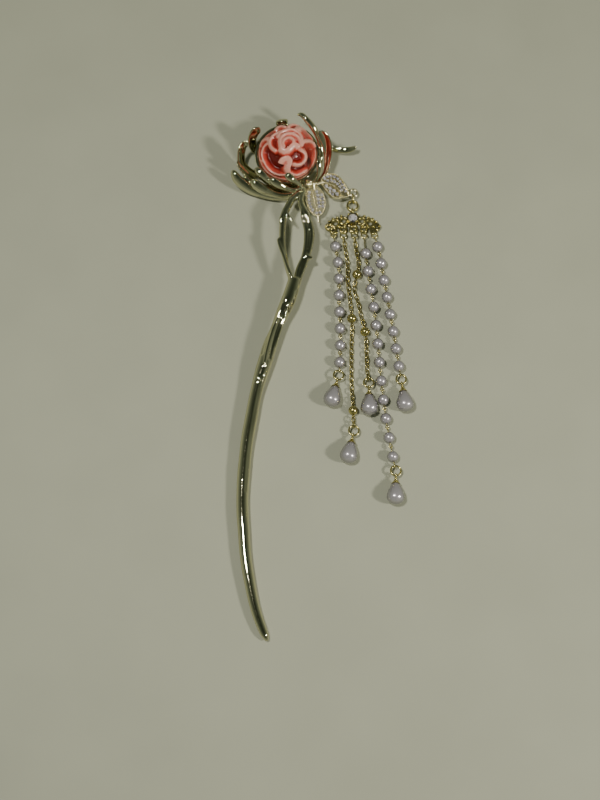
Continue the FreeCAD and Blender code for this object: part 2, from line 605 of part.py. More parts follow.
def make_connector():
    plate = []
    holes = []
    height = CONNECTOR_TOP - 0.4 - CONNECTOR_BASE
    for x, y, radius, opening in LOBES:
        plate.append(Part.makeCylinder(radius, height, V(x, y, CONNECTOR_BASE)))
        holes.append(Part.makeCylinder(opening, 3, V(x, y, 0)))
    bezel = Part.makeCylinder(BEZEL_OUTER, 2.7, V(BEZEL[0], BEZEL[1], 0))
    seat = Part.makeCylinder(CONNECTOR_STONE + 0.1, 2.2, V(BEZEL[0], BEZEL[1], 1.3))
    whole = fuse_all(plate + [bezel]).cut(fuse_all(holes)).cut(seat)
    raised = []
    for x, y, radius, opening in LOBES:
        raised.append(wire_ring(V(x, y, CONNECTOR_TOP - 0.4), UP, (radius + opening) / 2.0, 0.3))
    for x, y, radius in CONNECTOR_GRANULES:
        raised.append(ball((x, y, CONNECTOR_TOP - 0.35), radius))
    for x, y, radius in LOOPS.values():
        raised.append(wire_ring(V(x, y, LOOP_LEVEL), UP, radius, LOOP_WIRE))
        raised.append(Part.makeBox(0.6, 0.9, 0.9, V(x - 0.3, y + radius - 0.1, CONNECTOR_BASE + 0.2)))
    raised.append(wire_ring(V(*TOP_LOOP), V(1, 0, 0), TOP_LOOP_RADIUS, 0.28))
    for i in range(4):
        a = math.radians(45.0 + 90.0 * i)
        x = BEZEL[0] + (CONNECTOR_STONE + 0.35) * math.cos(a)
        y = BEZEL[1] + (CONNECTOR_STONE + 0.35) * math.sin(a)
        raised.append(Part.makeCylinder(0.3, 1.7, V(x, y, 1.5)))
        raised.append(ball((x, y, 3.2), 0.34))
    whole = fuse_all([whole] + raised).cut(seat)
    floor = Part.makeBox(60, 60, 5, V(-5, -60, -5))
    return biggest(whole.cut(floor))


def make_connector_stone():
    stone = cut_stone(CONNECTOR_STONE, 12)
    return placed(stone, V(BEZEL[0], BEZEL[1], 2.65), V(1, 0, 0), UP)


# Strands
# pearls: strand, number, spacing is even along this row of points (x, y)
PEARL_PATHS = {
    1: (8, [(17.1, -34.7), (18.4, -41.5), (18.3, -53.0), (18.7, -66.0), (18.4, -78.0)]),
    4: (12, [(27.7, -37.4), (29.5, -50.0), (31.3, -64.5), (32.2, -78.0), (34.2, -98.7),
             (36.3, -111.8)]),
    5: (8, [(32.4, -34.8), (34.3, -47.4), (36.3, -60.5), (39.0, -79.4)]),
}
# chains: row of points (x, y, z) from the loop on, and the distance along it of each bead
CHAIN_PATHS = {
    2: ([(20.1, -31.1, 1.72), (20.5, -33.4, 1.15), (20.9, -36.4, 1.0), (21.5, -40.3, 1.0),
         (21.5, -45.3, 1.0), (21.8, -50.6, 1.0), (22.2, -54.2, 1.0), (22.6, -58.5, 1.5),
         (22.9, -61.3, 1.67), (22.9, -64.2, 1.5), (22.7, -69.0, 1.0), (22.5, -80.9, 1.0),
         (22.6, -88.3, 1.0), (22.9, -92.6, 1.5), (23.0, -95.5, 1.67), (23.0, -98.4, 1.75),
         (23.1, -101.2, 2.0), (23.1, -103.0, 2.0)], (30.9, 65.2)),
    3: ([(24.1, -31.2, 1.74), (24.35, -33.4, 1.2), (24.8, -36.4, 1.0), (25.4, -40.0, 1.12),
         (25.4, -42.2, 1.5), (25.1, -44.9, 1.67), (24.3, -47.6, 1.5), (23.8, -49.9, 1.0),
         (24.0, -52.0, 1.0), (24.9, -54.8, 1.0), (25.6, -57.8, 1.0), (26.0, -60.2, 1.1),
         (26.6, -62.7, 1.5), (27.3, -65.4, 1.67), (27.7, -68.2, 1.5), (27.8, -72.0, 1.0),
         (27.9, -76.3, 1.0), (28.0, -80.9, 1.5), (28.2, -84.0, 2.0), (28.2, -86.0, 2.0)],
        (14.3, 36.1)),
}
BEAD_PIN = 5.42           # joint to joint over a bead on its pin
LINK_PITCH = 1.66
LINK_TURN = math.radians(45.0)
END_LINK_TURN = math.radians(70.0)
LAST_HALF_WIDTH = 0.95    # the wider link that takes the end ring
LINK_REACH = 0.28         # how far a link's end lies past the joint
EYE_INSET = 0.28          # how far an eye's middle lies before the joint
LAST_EYE = 0.70           # ring radius of the larger eye that takes the end ring
# end of each strand: direction of the ring and of the drop, in degrees from -Y towards +X
ENDS = {1: (-8.0, -15.0), 2: (0.0, -12.0), 3: (8.0, 0.0), 4: (12.0, -2.0), 5: (8.0, 7.0)}


def eye(centre, along, side, radius=EYE_RADIUS):
    """A wire eye whose ring lies in the plane of along and side."""
    return Part.makeTorus(radius, PIN_WIRE, centre, along.cross(side))


def eye_pin(start, stop, side_a, side_b, last=EYE_RADIUS):
    """Straight wire with an eye at each end. start and stop are the eyes' middles."""
    along = unit(stop - start)
    a = start + along * EYE_RADIUS
    b = stop - along * last
    wire = Part.makeCylinder(PIN_WIRE, (b - a).Length, a, along)
    return fuse_all([eye(start, along, side_a), wire, eye(stop, along, side_b, last)])


def drilled(on_wire, along, radius):
    """A bead on a wire, drilled along it. It lies on the floor or higher."""
    body = Part.makeSphere(radius, V(on_wire.x, on_wire.y, max(on_wire.z, radius + 0.01)))
    drill = Part.makeCylinder(HOLE_RADIUS, 2.4 * radius, on_wire - along * (1.2 * radius), along)
    return body.cut(drill)


def loop_start(strand, towards):
    """Where the first joint of a strand lies on its connector loop."""
    x, y, radius = LOOPS[strand]
    middle = V(x, y, LOOP_LEVEL)
    way = unit(V(towards.x - x, towards.y - y, 0))
    return middle + way * radius


def pearl_strand(strand):
    """Pearls, pins and the middle of the last eye."""
    count, points = PEARL_PATHS[strand]
    curve = curve_through([(x, y, PEARL_RADIUS + 0.02) for x, y in points])
    pitch = curve.length() / (count - 1)
    centres = []
    for i in range(count):
        at = curve.parameterAtDistance(min(pitch * i, curve.length() - 1e-4), curve.FirstParameter)
        centres.append(curve.value(at))
    joints = [(a + b) * 0.5 for a, b in zip(centres, centres[1:])]
    ahead = unit(centres[-1] - centres[-2])
    pearls = []
    pins = []
    wire_point = loop_start(strand, centres[0])
    for i in range(count):
        if i == 0:
            start = wire_point
        else:
            start = joints[i - 1] + unit(centres[i] - joints[i - 1]) * EYE_INSET
        if i == count - 1:
            stop = centres[i] + ahead * (pitch / 2.0 - EYE_INSET + LAST_EYE - EYE_RADIUS)
        else:
            stop = joints[i] - unit(joints[i] - centres[i]) * EYE_INSET
        along = unit(stop - start)
        across = unit(along.cross(UP))
        upright = across.cross(along)
        final = LAST_EYE if i == count - 1 else EYE_RADIUS
        side_b = upright if i == count - 1 else across
        pins.append(eye_pin(start, stop, upright, side_b, final))
        on_wire = start + along * (centres[i] - start).dot(along)
        pearls.append(drilled(on_wire, along, PEARL_RADIUS))
    return Part.makeCompound(pearls), Part.makeCompound(pins), stop


def chain_link(start, stop, turn, w):
    """One oval link of half width w between two joints, turned about its length."""
    along = unit(stop - start)
    across = unit(along.cross(UP))
    side = across * math.cos(turn) + across.cross(along) * math.sin(turn)
    half = ((stop - start).Length / 2.0) + LINK_REACH
    middle = (start + stop) * 0.5
    a = middle + along * (half - w)
    b = middle - along * (half - w)
    path = Part.Wire([
        Part.Arc(a + side * w, a + along * w, a - side * w).toShape(),
        Part.makeLine(a - side * w, b - side * w),
        Part.Arc(b - side * w, b - along * w, b + side * w).toShape(),
        Part.makeLine(b + side * w, a + side * w)])
    section = Part.Wire([Part.makeCircle(CHAIN_WIRE, a + side * w, along)])
    return path.makePipeShell([section], True, False)


def chain_strand(strand):
    """Links and bead pins, beads, and the middle of the wire that the last link holds."""
    points, bead_places = CHAIN_PATHS[strand]
    curve = curve_through(points)
    bead_places = list(bead_places)
    at = 0.0
    here = curve.value(curve.FirstParameter)
    total = curve.length()
    links = []
    beads = []
    turn = END_LINK_TURN
    while True:
        step = LINK_PITCH
        is_bead = bool(bead_places) and at + BEAD_PIN / 2.0 > bead_places[0] - 0.8
        if is_bead:
            step = BEAD_PIN
            bead_places.pop(0)
        if at + step > total - 0.3:
            break
        reach = step
        for _ in range(8):
            p = curve.value(curve.parameterAtDistance(at + reach, curve.FirstParameter))
            reach += step - (p - here).Length
        if is_bead:
            along = unit(p - here)
            across = unit(along.cross(UP))
            side = across * math.cos(turn) + across.cross(along) * math.sin(turn)
            links.append(eye_pin(here + along * EYE_INSET, p - along * EYE_INSET, side, side))
            middle = (here + p) * 0.5
            beads.append(drilled(middle, along, BEAD_RADIUS))
        else:
            is_last = at + reach + LINK_PITCH > total - 0.3
            if is_last:
                turn = math.copysign(END_LINK_TURN, turn)
            links.append(chain_link(here, p, turn, LAST_HALF_WIDTH if is_last else LINK_HALF_WIDTH))
        at += reach
        turn = -math.copysign(LINK_TURN, turn)
        ahead = unit(p - here)
        here = p
    return Part.makeCompound(links), Part.makeCompound(beads), here - ahead * 0.48


def heading(degrees, rise=0.0):
    a = math.radians(degrees)
    return unit(V(math.sin(a), -math.cos(a), rise))


# pear-shaped drop, along the axis from the tip on: distance, radius
DROP_PROFILE = [(0.0, 0.0), (0.03, 0.3), (0.15, 0.6), (0.5, 1.0), (1.1, 1.42), (1.9, 1.88),
                (2.8, 2.33), (3.7, 2.68), (4.6, 2.91), (5.4, 3.0), (6.1, 2.92), (6.7, 2.66),
                (7.2, 2.24), (7.6, 1.67), (7.85, 1.05), (7.97, 0.5), (8.0, 0.0)]
CAP_EYE = 0.70
CAP_WIRE = 0.22
CAP_NECK = 2.1            # from the middle of the cap's eye to the drop's tip


def revolved(rows, smooth):
    """A solid of revolution about +X from rows of distance and radius."""
    points = [V(a, r, 0) for a, r in rows]
    if smooth:
        curve = Part.BSplineCurve()
        curve.interpolate(points)
        edge = curve.toShape()
        face = Part.Face(Part.Wire([edge, Part.makeLine(points[-1], points[0])]))
    else:
        face = Part.Face(Part.makePolygon(points + [points[0]]))
    return face.revolve(V(0, 0, 0), V(1, 0, 0), 360)


def in_plane(way, normal):
    return unit(way - normal * way.dot(normal))


def strand_end(strand, held):
    """End ring, cap and drop below the point held in the last eye or link."""
    ring_turn, drop_turn = ENDS[strand]
    normal = unit(V(0.05, 0.1, 1.0))
    middle = held + in_plane(heading(ring_turn), normal) * (0.05 + END_RING_RADIUS)
    ring = wire_ring(middle, normal, END_RING_RADIUS, END_RING_WIRE)
    start = middle + in_plane(heading(drop_turn), normal) * (END_RING_RADIUS + 0.05)
    widest = CAP_NECK + 5.5
    rise = (DROP_RADIUS + 0.02 - start.z) / widest
    axis = heading(drop_turn, rise)
    sideways = unit(axis.cross(UP))
    drop = placed(revolved(DROP_PROFILE, True), start + axis * CAP_NECK, axis, sideways)
    shell = revolved([(-0.75, 0.0), (-0.75, 0.42), (-0.35, 0.68), (0.1, 1.0), (0.45, 1.28),
                      (0.8, 1.5), (0.76, 1.3), (0.45, 1.07), (0.12, 0.68), (-0.08, 0.42),
                      (-0.1, 0.0)], False)
    bead = Part.makeSphere(0.52, V(-0.95, 0, 0), V(1, 0, 0))
    loop = Part.makeTorus(CAP_EYE, CAP_WIRE, V(-CAP_NECK, 0, 0), V(0, 0, 1))
    pieces = [placed(piece, start + axis * CAP_NECK, axis, sideways)
              for piece in (shell, bead, loop)]
    cap = fuse_all(pieces)
    return ring, cap, drop


save("stick", seated(make_stick(), calyx(["p4", "p5"])))
save("petal_cup", make_petal_cup())
save("rose", make_rose())
save("leaf_sprig", seated(make_leaf_sprig(), calyx(["p2", "p3"])))
save("stones_leaf_right", leaf_stones(LEAVES["right"]))
save("stones_leaf_down", leaf_stones(LEAVES["down"]))
save("jump_ring_upper", wire_ring(V(*UPPER_RING), V(1.0, 0.1, 0.0), UPPER_RING_RADIUS,
                                  UPPER_RING_WIRE))
save("jump_ring_lower", wire_ring(V(*LOWER_RING), V(0.0, 0.0, 1.0), LOWER_RING_RADIUS,
                                  LOWER_RING_WIRE))
save("connector", make_connector())
save("connector_stone", make_connector_stone())
for strand in (1, 4, 5):
    pearls, pins, held = pearl_strand(strand)
    save("pearls_%d" % strand, pearls)
    save("pins_%d" % strand, pins)
    for name, shape in zip(("end_ring", "drop_cap", "drop"), strand_end(strand, held)):
        save("%s_%d" % (name, strand), shape)
for strand in (2, 3):
    links, beads, held = chain_strand(strand)
    save("chain_%d" % strand, links)
    save("beads_%d" % strand, beads)
    for name, shape in zip(("end_ring", "drop_cap", "drop"), strand_end(strand, held)):
        save("%s_%d" % (name, strand), shape)
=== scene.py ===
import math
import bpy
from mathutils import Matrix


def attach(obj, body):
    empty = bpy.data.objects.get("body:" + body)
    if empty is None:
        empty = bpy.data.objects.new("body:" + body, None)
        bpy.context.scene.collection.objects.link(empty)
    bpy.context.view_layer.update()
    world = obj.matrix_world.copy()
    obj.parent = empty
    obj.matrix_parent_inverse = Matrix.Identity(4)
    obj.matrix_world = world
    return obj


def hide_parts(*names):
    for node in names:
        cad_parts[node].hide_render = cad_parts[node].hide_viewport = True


bl_info = {
    "name": "Step-shake hairpin",
    "version": (1, 0, 0),
    "blender": (4, 5, 0),
    "location": "3D View > Sidebar > Hairpin",
    "description": "A twig-shaped hairpin with a resin rose, set leaves, pearl strands and chains",
    "category": "Add Mesh",
}

import bpy
import numpy as np
from mathutils import Vector

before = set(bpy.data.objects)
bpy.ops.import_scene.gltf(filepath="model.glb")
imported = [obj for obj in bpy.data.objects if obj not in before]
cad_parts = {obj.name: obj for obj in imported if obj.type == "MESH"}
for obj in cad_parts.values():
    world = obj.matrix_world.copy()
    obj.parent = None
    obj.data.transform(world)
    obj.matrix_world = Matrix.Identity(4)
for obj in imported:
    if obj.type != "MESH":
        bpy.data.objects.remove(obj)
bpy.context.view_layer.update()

MM = 0.001
UP = np.array([0.0, 0.0, 1.0])
FAR = 1e9                 # mm, farther than anything here


def linear(code):
    """Linear colour of an sRGB hex value such as #D9C9A0."""
    channels = [int(code[i:i + 2], 16) / 255.0 for i in (1, 3, 5)]
    return tuple(c / 12.92 if c <= 0.04045 else ((c + 0.055) / 1.055) ** 2.4 for c in channels)


# Sizes and colours


def length(label, text, value):
    """A length property whose default is given in millimetres."""
    return bpy.props.FloatProperty(name=label, description=text, default=value * MM,
                                   min=0.0, unit="LENGTH")


def colour(label, text, code):
    """A colour property whose default is an sRGB hex value."""
    return bpy.props.FloatVectorProperty(name=label, description=text, subtype="COLOR", size=3,
                                         min=0.0, max=1.0, default=linear(code))


class HairpinSizes(bpy.types.PropertyGroup):
    rose_radius: length("Rose radius", "Widest radius of the resin rose", 10.6)
    rose_level: length("Rose level", "Height of the rose's widest level", 6.0)
    rose_dome: length("Rose dome", "Height of the dome above that level", 8.4)
    rose_belly: length("Rose belly", "Depth of the underside below that level", 4.4)
    rose_floor: length("Rose floor", "Height of the rose's flat underside", 1.9)
    back_radius: length("Cup back", "Radius of the cup's flat back", 7.0)
    casting_grain: length("Casting grain", "Finest detail of the two castings", 0.25)
    prong: length("Prong", "Radius of the grains that hold the leaf stones", 0.12)


class HairpinColours(bpy.types.PropertyGroup):
    champagne: colour("Champagne plating", "Pale plating of the castings", "#CCCAAA")
    gold: colour("Gold plating", "Yellower plating of chains, rings and caps", "#C3B978")
    tray: colour("Leaf plating", "Bright plating of the leaf trays", "#E2DBB4")
    # painted shade: the dark colour that the gold plating is painted in recesses and between close
    # parts
    recess_painted_shade: colour("Recess", "Darker plating in the connector's recesses", "#6E5420")
    rim: colour("Petal rim", "Pale rims and backs of the petals", "#DDA090")
    petal: colour("Petal", "Coral between rim and hollow", "#C24A3B")
    # painted shade in part: the dark red deepens into the petal hollows where shade falls
    hollow: colour("Petal hollow", "Deep red in the hollows", "#7A0E09")
    nacre: colour("Pearl", "Body colour of the pearl lacquer", "#BDB9C0")
    # painted shade: the darker, greyer colour that the pearls are painted towards their edges
    nacre_edge_shade: colour("Pearl edge", "Cooler colour towards the pearls' edges", "#6A6770")
    # one stop among the painted facet reflections of the stones
    stone: colour("Stone", "Tint of the clear cut stones", "#F1F0F6")
    floor: colour("Floor", "Pale studio floor", "#A7AB97")


def sizes():
    return bpy.context.scene.hairpin_sizes


def colours():
    return bpy.context.scene.hairpin_colours


# Node and mesh helpers


def node(tree, kind, settings=None, values=None, links=None):
    """A node with its settings, socket values and incoming links."""
    made = tree.nodes.new(kind)
    for key, value in (settings or {}).items():
        setattr(made, key, value)
    for key, value in (values or {}).items():
        made.inputs[key].default_value = value
    for key, source in (links or {}).items():
        tree.links.new(source, made.inputs[key])
    return made


def ramp(tree, source, stops):
    """A colour ramp over source. stops are (place, linear colour)."""
    made = node(tree, "ShaderNodeValToRGB", links={"Fac": source})
    elements = made.color_ramp.elements
    while len(elements) < len(stops):
        elements.new(0.5)
    for element, (place, rgb) in zip(elements, stops):
        element.position = place
        element.color = (*rgb, 1.0)
    return made.outputs["Color"]


def material(name, values):
    """A material with one Principled shader. Returns it, its tree and the shader."""
    made = bpy.data.materials.new(name)
    made.use_nodes = True
    tree = made.node_tree
    shader = tree.nodes["Principled BSDF"]
    for key, value in values.items():
        shader.inputs[key].default_value = value
    return made, tree, shader


def position(tree, per_mm):
    """Object coordinates scaled so that one unit is 1 / per_mm millimetres."""
    place = node(tree, "ShaderNodeTexCoord")
    return node(tree, "ShaderNodeMapping", values={"Scale": (per_mm / MM,) * 3},
                links={"Vector": place.outputs["Object"]}).outputs["Vector"]


def bumped(tree, shader, height, strength, depth_mm):
    """Fine relief from a height between 0 and 1, depth_mm deep."""
    relief = node(tree, "ShaderNodeBump",
                  values={"Strength": strength, "Distance": depth_mm * MM},
                  links={"Height": height})
    tree.links.new(relief.outputs["Normal"], shader.inputs["Normal"])


def mesh_piece(name, verts, faces, look):
    """An object from points in millimetres, riding on the hairpin."""
    mesh = bpy.data.meshes.new(name)
    mesh.from_pydata((np.asarray(verts) * MM).tolist(), [], faces)
    mesh.validate()
    mesh.polygons.foreach_set("use_smooth", [True] * len(mesh.polygons))
    mesh.materials.append(look)
    piece = bpy.data.objects.new(name, mesh)
    bpy.context.scene.collection.objects.link(piece)
    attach(piece, "root")
    return piece


def settled(piece, steps):
    """Applies modifiers, given as (kind, settings), and keeps the resulting mesh."""
    for kind, settings in steps:
        modifier = piece.modifiers.new(kind.title(), kind)
        for key, value in settings.items():
            setattr(modifier, key, value)
    graph = bpy.context.evaluated_depsgraph_get()
    mesh = bpy.data.meshes.new_from_object(piece.evaluated_get(graph))
    piece.modifiers.clear()
    piece.data = mesh
    mesh.polygons.foreach_set("use_smooth", [True] * len(mesh.polygons))
    return piece


def joined(parts):
    """One list of points and faces from several."""
    verts = []
    faces = []
    for part_verts, part_faces in parts:
        shift = sum(len(v) for v in verts)
        verts.append(np.asarray(part_verts))
        faces += [tuple(i + shift for i in face) for face in part_faces]
    return np.vstack(verts), faces


def unit(v):
    """v at length 1."""
    return v / max(np.linalg.norm(v), 1e-12)


def spline(points, count):
    """Points and directions along a smooth curve through points, evenly spread.

    The curve is a natural cubic spline over the points' spacing.
    """
    p = np.asarray(points, float)
    t = np.concatenate([[0.0], np.cumsum(np.linalg.norm(np.diff(p, axis=0), axis=1))])
    h = np.diff(t)
    n = len(p)
    system = np.eye(n)
    right = np.zeros((n, p.shape[1]))
    for i in range(1, n - 1):
        system[i, i - 1], system[i, i], system[i, i + 1] = h[i - 1], 2 * (h[i - 1] + h[i]), h[i]
        right[i] = 6 * ((p[i + 1] - p[i]) / h[i] - (p[i] - p[i - 1]) / h[i - 1])
    bend = np.linalg.solve(system, right)
    at = np.linspace(0.0, t[-1], count)
    k = np.clip(np.searchsorted(t, at, side="right") - 1, 0, n - 2)
    a = ((t[k + 1] - at) / h[k])[:, None]
    b = ((at - t[k]) / h[k])[:, None]
    hk = h[k][:, None]
    sag = (a ** 3 - a) * bend[k] + (b ** 3 - b) * bend[k + 1]
    where = a * p[k] + b * p[k + 1] + sag * hk ** 2 / 6
    way = np.gradient(where, axis=0)
    way /= np.linalg.norm(way, axis=1)[:, None]
    return where, way


def tube(points, widths, outward, flat=1.0, rings=60, spokes=24, dish=0.0):
    """A closed tube with oval sections along a smooth curve.

    widths is a list of (share of the length, width). The sections' thin side faces outward,
    which is ("up", direction) or ("from", point that the inner face looks at). flat is the
    thickness over the width, and dish hollows the inner face.
    """
    where, way = spline(points, rings)
    share = np.linspace(0.0, 1.0, rings)
    wide_all = np.interp(share, [w[0] for w in widths], [w[1] for w in widths]) / 2.0
    verts = []
    turn = np.linspace(0.0, 2 * math.pi, spokes, endpoint=False)
    for centre, along, half in zip(where, way, wide_all):
        away = centre - np.asarray(outward[1]) if outward[0] == "from" else np.asarray(outward[1])
        thick = unit(away - along * away.dot(along))
        side = np.cross(along, thick)
        u = np.cos(turn)
        v = np.sin(turn) * flat
        v = np.where(v < 0, v + dish * flat * (1.0 - u * u), v)
        verts.append(centre + half * (u[:, None] * side + v[:, None] * thick))
    verts.append(np.array([where[0]]))
    verts.append(np.array([where[-1]]))
    verts = np.vstack(verts)
    faces = []
    for i in range(rings - 1):
        for j in range(spokes):
            k = (j + 1) % spokes
            a, b = i * spokes, (i + 1) * spokes
            faces.append((a + j, a + k, b + k, b + j))
    first, last = rings * spokes, rings * spokes + 1
    for j in range(spokes):
        k = (j + 1) % spokes
        faces.append((first, k, j))
        faces.append((last, (rings - 1) * spokes + j, (rings - 1) * spokes + k))
    return verts, faces


def ball(centre, radius, rings=8, spokes=12):
    """A closed ball of rings from pole to pole."""
    centre = np.array(centre)
    verts = [centre + [0, 0, radius]]
    for i in range(1, rings):
        a = math.pi * i / rings
        for j in range(spokes):
            b = 2 * math.pi * j / spokes
            way = [math.sin(a) * math.cos(b), math.sin(a) * math.sin(b), math.cos(a)]
            verts.append(centre + radius * np.array(way))
    verts.append(centre - [0, 0, radius])
    last = len(verts) - 1
    faces = []
    for j in range(spokes):
        k = (j + 1) % spokes
        faces.append((0, 1 + j, 1 + k))
        faces.append((last, last - spokes + k, last - spokes + j))
        for i in range(rings - 2):
            a, b = 1 + i * spokes, 1 + (i + 1) * spokes
            faces.append((a + j, b + j, b + k, a + k))
    return np.array(verts), faces


def lathe(rows, spokes=96):
    """A closed body of revolution about Z from rows of (radius, height), axis to axis."""
    verts = []
    for r, z in rows[1:-1]:
        for j in range(spokes):
            b = 2 * math.pi * j / spokes
            verts.append((r * math.cos(b), r * math.sin(b), z))
    verts += [(0, 0, rows[0][1]), (0, 0, rows[-1][1])]
    faces = []
    rings = len(rows) - 2
    for j in range(spokes):
        k = (j + 1) % spokes
        for i in range(rings - 1):
            a, b = i * spokes, (i + 1) * spokes
            faces.append((a + j, a + k, b + k, b + j))
        faces.append((len(verts) - 2, k, j))
        faces.append((len(verts) - 1, (rings - 1) * spokes + j, (rings - 1) * spokes + k))
    return np.array(verts), faces


# Finishes
# FACET_SPREAD serves the painted facet reflections of the stones
FACET_SPREAD = 37.0       # tells facets with nearly the same direction apart
CLOUDING = 0.35           # how far the rose's colour shifts from patch to patch


def champagne_plating():
    """Polished zinc alloy casting with a pale gold plating.

    The eye sees a mirror that takes its darks and lights from the room, slightly yellow,
    with faint waves left by hand polishing, about 3 mm long.
    """
    made, tree, shader = material("champagne plated zinc, polished", {
        "Metallic": 1.0, "Base Color": (*colours().champagne, 1.0)})
    waves = node(tree, "ShaderNodeTexNoise", values={"Scale": 1.0, "Detail": 1.0},
                 links={"Vector": position(tree, 0.3)})
    bumped(tree, shader, waves.outputs["Fac"], 0.12, 0.1)
    wear = node(tree, "ShaderNodeTexNoise", values={"Scale": 1.0, "Detail": 3.0},
                links={"Vector": position(tree, 1.6)})
    rough = node(tree, "ShaderNodeMapRange", values={"From Min": 0.35, "From Max": 0.7,
                                                     "To Min": 0.04, "To Max": 0.09},
                 links={"Value": wear.outputs["Fac"]})
    tree.links.new(rough.outputs["Result"], shader.inputs["Roughness"])
    return made


def bright_plating():
    """Tumbled zinc alloy with a pale gold plating, less clear than the polished castings.

    Fine pitting spreads the light, so the leaf trays stay pale where a mirror would go dark.
    """
    made, tree, shader = material("champagne plated zinc, tumbled", {
        "Metallic": 1.0, "Roughness": 0.24, "Base Color": (*colours().tray, 1.0)})
    pits = node(tree, "ShaderNodeTexNoise", values={"Scale": 1.0, "Detail": 2.0},
                links={"Vector": position(tree, 3.0)})
    bumped(tree, shader, pits.outputs["Fac"], 0.3, 0.05)
    return made


def gold_plating():
    """Drawn brass wire and stampings with a yellow gold plating.

    Small bright curves with dark olive gaps: painted shade, as an occlusion mask darkens the
    colour between close parts.
    """
    made, tree, shader = material("gold plated brass, drawn", {"Metallic": 1.0, "Roughness": 0.2})
    # painted shade: an occlusion mask darkens the plating in recesses and between close parts
    crowd = node(tree, "ShaderNodeAmbientOcclusion", {"samples": 6, "only_local": True},
                 {"Distance": 0.9 * MM})
    tone = ramp(tree, crowd.outputs["AO"], [(0.25, colours().recess_painted_shade), (0.8, colours().gold)])
    tree.links.new(tone, shader.inputs["Base Color"])
    grain = node(tree, "ShaderNodeTexNoise", values={"Scale": 1.0, "Detail": 2.0},
                 links={"Vector": position(tree, 1.8)})
    bumped(tree, shader, grain.outputs["Fac"], 0.2, 0.06)
    return made


def rose_resin():
    """Cast polyester resin, coral red, its petal rims rubbed back to pale pink.

    Glossy and slightly deep: light goes a little way in at the thin rims. The colour runs
    from pale rims through coral to dark red hollows, clouded in patches about 1 mm wide.
    The pale rims and the red pooled in the hollows are the resin's own; the darkening
    deeper into the hollows is painted shade.
    """
    made, tree, shader = material("cast resin, rubbed rims", {
        "Roughness": 0.3, "IOR": 1.5, "Subsurface Weight": 0.08, "Subsurface Scale": 0.0008,
        "Coat Weight": 0.3, "Coat Roughness": 0.15})
    # the hollow mask is depth below the dome: the resin's red pooling in the hollows, deepened by
    # painted shade
    depth = node(tree, "ShaderNodeAttribute", {"attribute_name": "hollow"}).outputs["Fac"]
    cloud = node(tree, "ShaderNodeTexNoise", values={"Scale": 1.0, "Detail": 4.0},
                 links={"Vector": position(tree, 0.9)})
    shift = node(tree, "ShaderNodeMath", {"operation": "MULTIPLY_ADD"},
                 {1: CLOUDING, 2: -CLOUDING / 2}, {0: cloud.outputs["Fac"]})
    mixed = node(tree, "ShaderNodeMath", {"operation": "ADD"}, links={
        0: depth, 1: shift.outputs["Value"]})
    # the darkest stops are painted shade in the deepest hollows
    tone = ramp(tree, mixed.outputs["Value"], [
        (0.0, colours().rim), (0.06, colours().rim), (0.26, colours().petal),
        (0.75, colours().hollow), (1.0, tuple(0.7 * c for c in colours().hollow))])
    tree.links.new(tone, shader.inputs["Base Color"])
    bumped(tree, shader, cloud.outputs["Fac"], 0.12, 0.1)
    return made


def pearl_lacquer():
    """Acrylic beads dipped in pearl lacquer.

    A soft satin body under a clear glossy skin: sharp small lamps on a wide cool glow.
    Towards the edge the colour is painted darker and greyer: painted shade.
    """
    made, tree, shader = material("acrylic pearl, lacquered", {
        "Roughness": 0.3, "IOR": 1.5, "Metallic": 0.55, "Coat Weight": 1.0, "Coat IOR": 2.1,
        "Coat Roughness": 0.02})
    # painted shade: the colour darkens towards the silhouette by facing angle
    edge = node(tree, "ShaderNodeLayerWeight", values={"Blend": 0.45})
    tone = ramp(tree, edge.outputs["Facing"], [
        (0.1, colours().nacre), (0.6, colours().nacre_edge_shade)])
    tree.links.new(tone, shader.inputs["Base Color"])
    return made


def cut_crystal():
    """Clear cut glass with a silvered back.

    Each facet is painted a tone of its own, white, grey, lilac and dark: painted reflections
    that stand in for each facet showing another part of the room.
    """
    made, tree, shader = material("cut glass, silvered back", {
        "Metallic": 0.5, "Roughness": 0.08, "IOR": 1.6, "Coat Weight": 1.0,
        "Coat Roughness": 0.02})
    place = node(tree, "ShaderNodeNewGeometry")
    spread = node(tree, "ShaderNodeVectorMath", {"operation": "MULTIPLY_ADD"},
                  {1: (FACET_SPREAD,) * 3}, {0: place.outputs["True Normal"],
                                             2: place.outputs["Random Per Island"]})
    step = node(tree, "ShaderNodeVectorMath", {"operation": "SNAP"}, {1: (0.5, 0.5, 0.5)},
                {0: spread.outputs["Vector"]})
    dice = node(tree, "ShaderNodeTexWhiteNoise", {"noise_dimensions": "4D"},
                links={"Vector": step.outputs["Vector"], "W": place.outputs["Random Per Island"]})
    # painted reflections: random tones per facet, dark to white, for the room seen in each facet
    painted_facet_reflections = ramp(tree, dice.outputs["Value"], [
        (0.0, linear("#2C2C34")), (0.22, linear("#8B86A0")), (0.4, colours().stone),
        (0.85, linear("#FFFFFF")), (1.0, linear("#8C8A9C"))])
    tree.links.new(painted_facet_reflections, shader.inputs["Base Color"])
    return made


def studio_floor():
    """Matt painted board. Faint mottling, about 30 mm wide, keeps it from looking flat."""
    made, tree, shader = material("matt painted board", {"Roughness": 0.62})
    mottle = node(tree, "ShaderNodeTexNoise", values={"Scale": 1.0, "Detail": 3.0},
                  links={"Vector": position(tree, 0.03)})
    tone = ramp(tree, mottle.outputs["Fac"], [
        (0.3, tuple(0.94 * c for c in colours().floor)), (0.7, colours().floor)])
    tree.links.new(tone, shader.inputs["Base Color"])
    return made


FINISHES = {
    "champagne_metal": champagne_plating,
    "bright_metal": bright_plating,
    "gold_metal": gold_plating,
    "rose_resin": rose_resin,
    "pearl": pearl_lacquer,
    "clear_stone": cut_crystal,
}
made_finishes = {}


